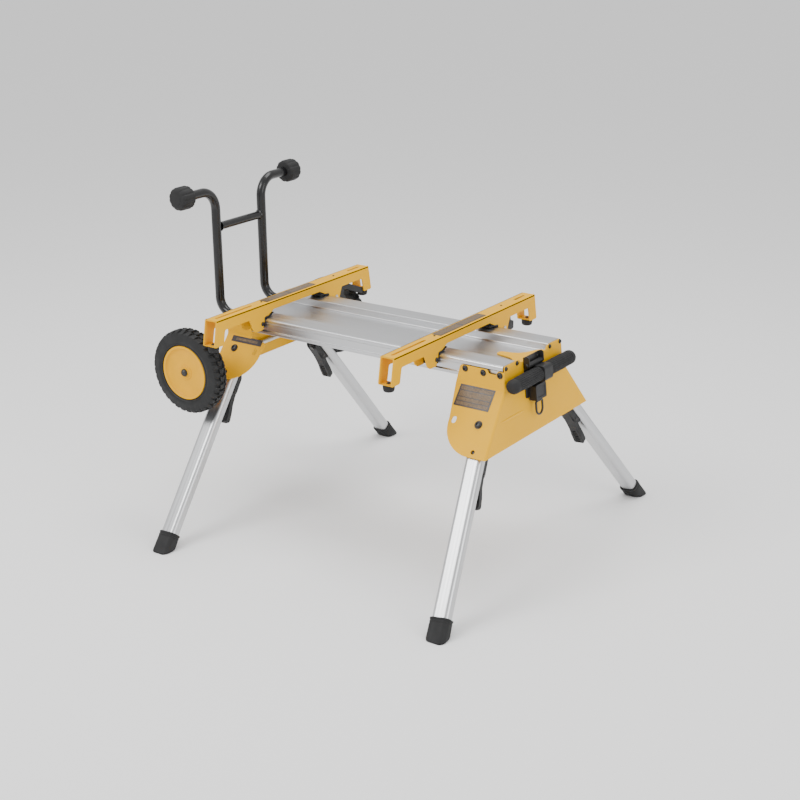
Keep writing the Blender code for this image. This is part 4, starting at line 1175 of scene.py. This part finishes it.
def make_hub():
    """A dished moulded wheel centre: a rim flange, a stepped dish, a raised ring and the long boss."""
    face, back = WHEEL_Y + TYRE_HALF, WHEEL_Y - TYRE_HALF
    bore = AXLE_RADIUS + GAP
    profile = [
        (bore, face - 0.0040),
        (0.0118, face - 0.0038),
        (0.0130, face - 0.0044),
        (0.0136, face - 0.0062),
        (0.0160, face - 0.0066),
        (0.0176, face - 0.0060),
        (0.0192, face - 0.0066),
        (0.0205, face - 0.0084),
        (0.0260, face - 0.0092),
        (0.0360, face - 0.0096),
        (0.0480, face - 0.0088),
        (0.0560, face - 0.0072),
        (0.0600, face - 0.0054),
        (0.0616, face - 0.0030),
        (0.0626, face - 0.0012),
        (0.0640, face - 0.0004),
        (0.0672, face - 0.0004),
        (0.0690, face - 0.0010),
        (HUB_RADIUS, face - 0.0022),
        (HUB_RADIUS, face - 0.0032),
        (0.0625, face - 0.0056),
        (0.0625, back + 0.0040),
        (0.0590, back + 0.0040),
        (0.0590, face - 0.0125),
        (0.0200, face - 0.0140),
        (0.0158, back - 0.0034),
        (0.0150, back - 0.0040),
        (bore, back - 0.0040),
    ]
    hub = lathe("hub", profile, 96, WHEEL_PLACE)
    ribs = []
    for k in range(8):
        a = 2 * math.pi * k / 8
        turn = WHEEL_PLACE @ Matrix.Rotation(a, 4, "Z")
        outline = [(0.0150, -0.0011), (0.0600, -0.0011), (0.0600, 0.0011), (0.0150, 0.0011)]
        ribs.append(prism("rib", outline, back + 0.0060, face - 0.0120, turn))
    join(hub, *ribs)
    add_pair(hub, "wheel_centre", "wheel_{side}", "hub_plastic", "wheel_hub_{side}", angle=38)


def make_wheel_cap():
    """A push-on axle cap: a domed disc with a stepped centre."""
    face = WHEEL_Y + TYRE_HALF
    low = face - 0.0040 + GAP
    stop = face - 0.0020 + GAP
    profile = [(0, face + 0.0022), (0.0026, face + 0.0021), (0.0034, face + 0.0016), (0.0044, face + 0.0020)]
    profile += [(0.0058, face + 0.0024), (0.0074, face + 0.0014), (0.0090, face - 0.0004)]
    profile.append((0.0098, face - 0.0018))
    profile += [(0.0098, low), (AXLE_RADIUS + GAP, low), (AXLE_RADIUS + GAP, stop), (0, stop)]
    cap = lathe("cap", profile, 48, WHEEL_PLACE)
    add_pair(cap, "wheel_axle_cap", "frame", "black_steel", "wheel_cap_{side}")


def make_axle():
    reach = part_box("axle")[1].y
    profile = both_ends([(0, reach), (AXLE_RADIUS - 0.0008, reach), (AXLE_RADIUS, reach - 0.0008)])
    axle = lathe("axle", profile, 40, WHEEL_PLACE)
    add(axle, "wheel_axle", "frame", "zinc_steel", ["axle"])


# -------------------------------------------------------------------- rails

CLAW_INNER = 0.1338
CLAW_BOTTOM = 0.4970
DROP_HEIGHT = 0.0665
DROP_FLARE = 0.0120
FLOOR_START = 0.2965
FLANGE = 0.0289
ARCH = 0.0216
FOOT_Y = 0.3100
RAIL_SLOTS = ((-0.2290, 0.138), (0.2680, 0.050))
SLOT_WIDTH = 0.0065
CLAMP_DROP = {"right": 0.0, "left": math.radians(22.0)}


def rail_profile(half, top):
    """A rail's side in Y and Z: a flange arched over the beam, flared end drops, and claws."""
    low, drop = top - FLANGE, top - DROP_HEIGHT
    near = [
        (-half, top, 0.0012),
        (-half - DROP_FLARE, drop, 0.0050),
        (-0.2925, drop, 0.0050),
        (-0.2848, low, 0.0060),
        (-0.1927, low, 0.0050),
        (-0.1858, 0.5200, 0.0200),
        (-0.1808, 0.5052, 0.0120),
        (-0.1690, CLAW_BOTTOM, 0.0060),
        (-0.1418, CLAW_BOTTOM, 0.0050),
        (-0.1368, 0.5130, 0.0040),
        (-CLAW_INNER, 0.5190, 0.0030),
        (-CLAW_INNER, 0.5290, 0.0030),
        (-0.1200, 0.5294, 0.0080),
        (-0.0960, top - ARCH, 0.0080),
    ]
    return fillet(near + [(-y, z, r) for y, z, r in reversed(near)], 6)


def make_rail(end):
    low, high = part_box(f"{end}_rail")
    x, half, top = (low.x + high.x) / 2, RAIL_HALF, high.z
    reach = (high.x - low.x) / 2
    bm = bmesh.new()
    outline = rail_profile(half, top)
    rings = [[(y, z, u) for y, z in outline] for u in (x - reach, x + reach)]
    add_rings(bm, rings)
    bm.transform(ALONG_X)
    bmesh.ops.recalc_face_normals(bm, faces=bm.faces)
    level = [e for e in bm.edges if all(abs(v.co.z - top) < 0.0002 for v in e.verts)]
    folds = [e for e in level if e.verts[0].co.x == e.verts[1].co.x]
    round_folds(bm, folds, RAIL_FOLD)
    rail = object_from(bm, "rail")
    far, floor, bottom = half + 0.03, top - DROP_HEIGHT + SHEET, CLAW_BOTTOM - 0.02
    ceiling = top - SHEET
    hollow = [
        (-far, ceiling), (far, ceiling), (far, floor), (FLOOR_START, floor),
        (FLOOR_START, bottom), (-FLOOR_START, bottom), (-FLOOR_START, floor), (-far, floor),
    ]
    cut(rail, prism("hollow", hollow, x - reach + SHEET, x + reach - SHEET, ALONG_X))
    for middle, length in RAIL_SLOTS:
        place = Matrix.Translation((x, middle, top)) @ Matrix.Rotation(math.radians(90), 4, "Z")
        cut(rail, prism("slot", slot_outline(length, SLOT_WIDTH), -0.01, 0.01, place))
    cam = joint_point(f"{end}_clamp")
    pin = Matrix.Translation((x, cam.y, cam.z)) @ ALONG_X
    cut(rail, prism("bore", arc((0, 0), 0.0033, 4, 349, 23), -0.03, 0.03, pin))
    bevel(rail, 0.0004, 2, 55)
    add(rail, f"{end}_rail_channel", f"{end}_rail", "yellow_paint", [f"{end}_rail"], angle=35)
    make_rail_trim(end, x, top, reach)


def make_rail_trim(end, x, top, reach):
    """Feet, wear blocks, glide pads, liners and small screws that go with a rail."""
    body = f"{end}_rail"
    z = top - DROP_HEIGHT - GAP
    profile = [(0, z), (0.0134, z), (0.0140, z - 0.0006), (0.0143, z - 0.0026), (0.0143, z - 0.0044)]
    profile += [(0.0137, z - 0.0050), (0.0137, z - 0.0064), (0.0140, z - 0.0072), (0.0132, z - 0.0125)]
    profile += [(0.0120, z - 0.0148), (0.0098, z - 0.0160), (0, z - 0.0160)]
    foot = lathe("foot", profile, 48, Matrix.Translation((x, -FOOT_Y, 0)))
    add_pair(foot, f"{end}_rail_rubber_foot", body, "rubber", f"{end}_rail_foot_{{side}}")
    floor = top - DROP_HEIGHT + SHEET
    spots = [((x, side * FOOT_Y, floor), (0, 0, 1), 0.0042) for side in (-1, 1)]
    screws(f"{end}_rail_foot_screws", body, spots)
    rivets = [((x, y, top), (0, 0, 1), 0.0027) for y in (-0.1225, 0.1800)]
    screws(f"{end}_rail_top_rivets", body, rivets, washer=False)

    inner = BEAM_HALF_WIDTH + 2 * GAP
    low, high = BEAM_TOP - 0.0250, BEAM_TOP - 0.0020
    back = -inner - 0.0130
    block = fillet([(-inner, low, 0.001), (-inner, high, 0.003), (back, high, 0.002), (back, low, 0.002)], 3)
    across = reach - SHEET - GAP
    jaw = bevel(prism("jaw", block, x - across, x + across, ALONG_X), 0.0008, 2)
    add_pair(jaw, f"{end}_rail_wear_block", body, "black_plastic", f"{end}_rail_jaw_{{side}}")
    low, high = BEAM_TOP + 0.0006, top - SHEET - 0.0100
    corners = [(-0.1270, low), (-0.1000, low), (-0.1000, high), (-0.1270, high)]
    pad = fillet([(*corner, 0.002) for corner in corners], 3)
    glide = bevel(prism("glide", pad, x - across, x + across, ALONG_X), 0.0008, 2)
    add_pair(glide, f"{end}_rail_glide_pad", body, "black_plastic")
    make_liner(end, x, reach)
    spots = []
    for y in (-0.1425, 0.1425):
        spots.append(((x + reach, y, 0.5130), (1, 0, 0), 0.0045))
        spots.append(((x - reach, y, 0.5130), (-1, 0, 0), 0.0045))
    screws(f"{end}_rail_claw_screws", body, spots, "black_steel")


def make_liner(end, x, reach):
    """A wavy black wear strip that lines each claw where it faces the beam."""
    outer = [(-0.0984, 0.5352), (-0.1205, 0.5302), (-0.1290, 0.5300), (-0.1345, 0.5276)]
    outer += [(-0.1345, 0.5188), (-0.1375, 0.5126), (-0.1400, 0.5030)]
    inner = [(-0.0984, 0.5328), (-0.1200, 0.5272), (-0.1282, 0.5266), (-0.1331, 0.5244)]
    inner += [(-0.1331, 0.5186), (-0.1340, 0.5120), (-0.1372, 0.5030)]
    outline = fillet([(*p, 0.001) for p in outer] + [(*p, 0.001) for p in reversed(inner)], 3)
    strip = prism("liner", outline, x - reach - 0.0010, x + reach + 0.0010, ALONG_X)
    add_pair(strip, f"{end}_rail_claw_liner", f"{end}_rail", "black_plastic")


def make_clamp(end):
    """The cam lever with a stout ribbed paddle, whose handle closes into the channel, and its pin."""
    pivot = joint_point(f"{end}_clamp")
    low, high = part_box(f"{end}_rail")
    reach = (high.x - low.x) / 2
    half = reach - SHEET - 2 * GAP
    turned = Matrix.Translation(pivot) @ Matrix.Rotation(-CLAMP_DROP[end], 4, "X") @ ALONG_X
    side = [(u, v, 0) for u, v in arc((0, 0), 0.0150, 120, 265, 16)]
    side += [
        (0.0100, -0.0150, 0.0060),
        (0.0505, -0.0150, 0.0050),
        (0.0505, 0.0056, 0.0050),
        (0.0360, 0.0110, 0.0060),
        (0.0345, 0.0262, 0.0050),
        (0.1215, 0.0262, 0.0045),
        (0.1205, 0.0425, 0.0050),
        (0.0300, 0.0425, 0.0100),
        (0.0060, 0.0270, 0.0100),
    ]
    lever = prism("lever", fillet(side, 5), -half, half, turned)
    cut(lever, prism("bore", arc((0, 0), 0.0034, 4, 349, 23), -0.03, 0.03, turned))
    grooves = []
    for k in range(4):
        u = 0.0170 + 0.0080 * k
        outline = [(u, -0.0170), (u + 0.0030, -0.0170), (u + 0.0030, -0.0136), (u, -0.0136)]
        grooves.append(prism("groove", outline, -half + 0.003, half - 0.003, turned))
    cut(lever, *grooves)
    bevel(lever, 0.0010, 3, 45)
    body, node = f"{end}_clamp_lever", f"{end}_rail_clamp_lever"
    add(lever, f"{end}_rail_cam_lever", body, "black_plastic", [node], angle=45)
    profile = [(0, reach + 0.0030), (0.0035, reach + 0.0029), (0.0052, reach + 0.0020)]
    profile = both_ends([*profile, (0.0055, reach + GAP), (0.0030, reach + GAP)])
    pin = lathe("pin", profile, 32, Matrix.Translation(pivot) @ Matrix.Rotation(math.radians(90), 4, "Y"))
    add(pin, f"{end}_rail_cam_pin", f"{end}_rail", "zinc_steel", [f"{end}_rail_clamp_pin"])


# ------------------------------------------------------------------- handle

HINGE_OUT = 0.0100
EAR_Y = 0.0328
HANDLE_MID = -0.0150
GRIP_MID = -0.0040
GRIP_DROP = 0.0245
GRIP_OUT = 0.0225
GRIP_RADIUS = 0.0175
LATCH_OUT = 0.0155
RING_TOP = -0.0920


def handle_frame():
    """+X out of the leaning end plate, +Z up along it, with the hinge HINGE_OUT along +X."""
    up = -joint_axis("latch_pull")
    out = Vector((up.z, 0, -up.x))
    place = Matrix((out, Y_AXIS, up)).transposed().to_4x4()
    place.translation = joint_point("handle_swing") - out * HINGE_OUT
    place.translation.y = 0.0
    return place


def make_yoke(place):
    """A folded steel bracket on the end plate: a rounded plate with two ears."""
    outline = [(HANDLE_MID + u, v - 0.0300) for u, v in rounded_box(2 * EAR_Y + 0.003, 0.0990, 0.004, 4)]
    plate = prism("yoke", outline, GAP, GAP + SHEET, ALONG_X)
    ears = []
    for sign in (-1, 1):
        corners = [(GAP, -0.0120, 0), (HINGE_OUT + 0.0045, -0.0050, 0.003)]
        corners.append((HINGE_OUT + 0.0068, -0.0020, 0.002))
        corners += [(u, v, 0) for u, v in arc((HINGE_OUT, 0.0152), 0.0070, 0, 120, 10)]
        corners.append((GAP, 0.0195, 0))
        middle = -HANDLE_MID - sign * EAR_Y
        ears.append(prism("ear", fillet(corners, 6), middle - 0.0015, middle + 0.0015, UPRIGHT))
    yoke = join(plate, *ears)
    for sign in (-1, 1):
        hole = Matrix.Translation((HINGE_OUT, HANDLE_MID + sign * EAR_Y, 0)) @ NEAR_SIDE
        cut(yoke, prism("bore", arc((0, 0), 0.0032, 4, 349, 23), -0.006, 0.006, hole))
    bevel(yoke, 0.0005, 2, 50)
    yoke.data.transform(place)
    add(yoke, "handle_hinge_bracket", "frame", "black_steel", ["handle_yoke"], angle=45)
    spots = []
    for sign in (-1, 1):
        for z in (0.0100, -0.0455):
            spot = place @ Vector((GAP + SHEET, HANDLE_MID + sign * 0.0262, z))
            spots.append((spot, column(place, 0), 0.0032))
    screws("handle_hinge_screws", "frame", spots, washer=False)
    reach = EAR_Y + 0.0015
    profile = [(0, reach + 0.0030), (0.0032, reach + 0.0029), (0.0048, reach + 0.0018)]
    profile = both_ends([*profile, (0.0050, reach + GAP), (0.0029, reach + GAP)])
    middle = Matrix.Translation((HINGE_OUT, HANDLE_MID, 0)) @ NEAR_SIDE
    pin = lathe("pin", profile, 32, place @ middle)
    add(pin, "handle_hinge_pin", "frame", "black_steel", ["handle_pin"])


def make_arm(place):
    """The moulded arm: a hinge barrel, a web, a square collar round the grip and the latch block."""
    half = EAR_Y - 0.0020
    hinge = Matrix.Translation((HINGE_OUT, HANDLE_MID, 0)) @ NEAR_SIDE
    barrel = prism("arm", arc((0, 0), 0.0060, 0, 352.5, 47), -half, half, hinge)
    back = GAP + SHEET + 0.0006
    near, far = GRIP_MID - 0.0185, GRIP_MID + 0.0090
    corners = [(near, -0.0775), (far, -0.0775), (far, -0.0020), (near, -0.0020)]
    web_outline = fillet([(*corner, 0.003) for corner in corners], 4)
    web = prism("web", web_outline, HINGE_OUT - 0.0035, HINGE_OUT + 0.0035, ALONG_X)
    at_grip = Matrix.Translation((GRIP_OUT, GRIP_MID, -GRIP_DROP)) @ NEAR_SIDE
    collar = prism("collar", rounded_box(0.0380, 0.0380, 0.0080, 8), -0.0190, 0.0190, at_grip)
    low, high = HANDLE_MID - 0.0240, HANDLE_MID + 0.0240
    corners = [(low, -0.0875, 0.003), (high, -0.0875, 0.003), (high, -0.0495, 0.005), (low, -0.0495, 0.005)]
    block_outline = fillet(corners, 4)
    block = prism("block", block_outline, back, 0.0240, ALONG_X)
    arm = join(barrel, web, collar, block)
    clear = prism("clear", [(-0.20, -0.20), (0.20, -0.20), (0.20, 0.20), (-0.20, 0.20)], -0.01, back, ALONG_X)
    grip_bore = prism("grip", arc((0, 0), 0.0095, 2, 353, 39), -0.05, 0.05, at_grip)
    pin_bore = prism("pin", arc((0, 0), 0.0034, 2, 351, 23), -0.05, 0.05, hinge)
    plunger = prism("plunger", arc((LATCH_OUT, HANDLE_MID), 0.0048, 2, 351, 23), -0.12, -0.0615)
    panel_outline = [(HANDLE_MID + u, v - 0.0685) for u, v in rounded_box(0.0340, 0.0240, 0.003, 3)]
    panel = prism("panel", panel_outline, 0.0232, 0.03, ALONG_X)
    cut(arm, clear, grip_bore, pin_bore, plunger, panel)
    bevel(arm, 0.0007, 2, 45)
    arm.data.transform(place)
    add(arm, "handle_swing_arm", "handle", "black_plastic", ["handle_arm"], angle=42)


def make_grip(place):
    """A tube through the collar with a ribbed rubber sleeve and a smooth rounded cap on each side."""
    low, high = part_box("handle_grip")
    reach, radius = (high.y - low.y) / 2, GRIP_RADIUS
    sleeve = 0.0190 + GAP
    middle = (reach + sleeve) / 2
    steps, ribs = 144, 24
    profile = [(0, reach, 0), (radius - 0.0090, reach - 0.0002, 0), (radius - 0.0050, reach - 0.0014, 0)]
    profile += [(radius - 0.0020, reach - 0.0038, 0), (radius - 0.0004, reach - 0.0075, 0)]
    profile += [(radius, reach - 0.0120, 0), (radius, reach - 0.0180, 0)]
    profile += [(radius - 0.0010, reach - 0.0188, 0), (radius - 0.0010, reach - 0.0200, 0)]
    profile += [(radius - 0.0002, reach - 0.0208, 1), (radius - 0.0001, reach - 0.0300, 1)]
    profile += [(radius + 0.0003, middle + 0.012, 1), (radius + 0.0003, middle - 0.012, 1)]
    profile += [(radius - 0.0001, sleeve + 0.0110, 1), (radius - 0.0003, sleeve + 0.0060, 1)]
    profile += [(radius - 0.0008, sleeve + 0.0050, 0), (radius + 0.0002, sleeve + 0.0042, 0)]
    profile += [(radius + 0.0006, sleeve + 0.0024, 0), (radius, sleeve, 0), (0.0092, sleeve, 0)]
    profile += [(r, -h, k) for r, h, k in reversed(profile)]
    rings = []
    for r, h, ribbed in profile:
        ring = []
        for i in range(steps):
            a = 2 * math.pi * i / steps
            dip = 0.0012 * ribbed * (1.0 if math.cos(ribs * a) < -0.4 else 0.0)
            ring.append(((r - dip) * math.cos(a), (r - dip) * math.sin(a), h))
        rings.append(ring)
    middle = Matrix.Translation((GRIP_OUT, GRIP_MID, -GRIP_DROP)) @ NEAR_SIDE
    grip = loft("grip", rings, False, False, place @ middle)
    add(grip, "handle_ribbed_grip", "handle", "rubber", ["handle_grip"], angle=38)


def make_latch(place):
    """The plunger with a collar, and the pull ring through its eye."""
    profile = [(0, -0.0655), (0.0040, -0.0655), (0.0044, -0.0660), (0.0044, -0.0885), (0.0062, -0.0887)]
    profile += [(0.0066, -0.0897), (0.0062, -0.0911), (0.0044, -0.0915), (0.0040, -0.0932), (0, -0.0938)]
    plunger = lathe("plunger", profile, 32, Matrix.Translation((LATCH_OUT, HANDLE_MID, 0)))
    wide, tall, corner = 0.0145, 0.0190, 0.0045
    ring = arc((wide - corner, RING_TOP - corner), corner, 90, 0, 6)
    ring += arc((0.0, RING_TOP - tall), wide, 0, -180, 30)
    ring += arc((-wide + corner, RING_TOP - corner), corner, 180, 90, 6)
    path = [Vector((LATCH_OUT, HANDLE_MID + y, z)) for y, z in ring]
    loop = sweep("ring", path, 0.0027, 16, True)
    latch = join(plunger, loop)
    latch.data.transform(place)
    add(latch, "handle_latch_ring", "latch", "black_steel", ["latch_pull_ring"], angle=45)


def make_handle():
    place = handle_frame()
    make_yoke(place)
    make_arm(place)
    make_grip(place)
    make_latch(place)


# -------------------------------------------------------------------- stage

FLOOR_COLOR = (0.95, 0.95, 0.95, 1.0)
AZIMUTH, ELEVATION, ROLL = math.radians(35.0067), math.radians(19.8035), math.radians(-0.6038)
TARGET = Vector((0.1323, -0.1283, 0.3856))
DISTANCE = 3.6538
LENS = 67.89


def make_floor():
    bm = bmesh.new()
    bmesh.ops.create_grid(bm, x_segments=1, y_segments=1, size=40.0)
    floor = object_from(bm, "studio_floor")
    made = bpy.data.materials.new("studio_floor")
    made.use_nodes = True
    shader = made.node_tree.nodes["Principled BSDF"]
    shader.inputs["Base Color"].default_value = FLOOR_COLOR
    shader.inputs["Roughness"].default_value = 0.9
    floor.data.materials.append(made)


def add_light(name, position, aim, size, power):
    light = bpy.data.lights.new(name, "AREA")
    light.shape = "RECTANGLE"
    light.size, light.size_y = size
    light.energy = power
    obj = bpy.data.objects.new(name, light)
    bpy.context.scene.collection.objects.link(obj)
    obj.location = position
    obj.rotation_mode = "QUATERNION"
    obj.rotation_quaternion = (Vector(aim) - Vector(position)).to_track_quat("-Z", "Y")


def make_studio():
    world = bpy.data.worlds.new("studio")
    bpy.context.scene.world = world
    world.use_nodes = True
    background = world.node_tree.nodes["Background"]
    background.inputs["Color"].default_value = (1.0, 1.0, 1.0, 1.0)
    background.inputs["Strength"].default_value = 1.0
    middle = (0.0, 0.0, 0.35)
    add_light("key", (-1.2, -2.6, 3.0), middle, (1.8, 1.4), 75)
    add_light("fill", (3.2, -0.6, 1.6), middle, (1.6, 1.6), 28)
    add_light("top", (0.0, 0.6, 3.2), middle, (2.4, 1.2), 45)


def make_camera():
    level = math.cos(ELEVATION)
    back = Vector((math.sin(AZIMUTH) * level, -math.cos(AZIMUTH) * level, math.sin(ELEVATION)))
    right = (-back).cross(Z_AXIS).normalized()
    up = right.cross(-back)
    turned_right = right * math.cos(ROLL) + up * math.sin(ROLL)
    turned_up = up * math.cos(ROLL) - right * math.sin(ROLL)
    camera = bpy.data.cameras.new("camera")
    camera.lens = LENS
    camera.sensor_width = 36.0
    camera.clip_end = 120.0
    obj = bpy.data.objects.new("camera", camera)
    bpy.context.scene.collection.objects.link(obj)
    matrix = Matrix((turned_right, turned_up, back)).transposed().to_4x4()
    matrix.translation = TARGET + back * DISTANCE
    obj.matrix_world = matrix
    bpy.context.scene.camera = obj


MATERIALS.update(make_materials())
make_camera()
make_studio()
make_floor()
make_beam()
for bracket_end in ("right", "left"):
    make_bracket(bracket_end)
make_bracket_screws()
make_bead()
make_labels()
make_posts()
make_crossbar()
make_knobs()
make_legs()
make_tyre()
make_hub()
make_wheel_cap()
make_axle()
for rail_end in ("right", "left"):
    make_rail(rail_end)
    make_clamp(rail_end)
make_handle()
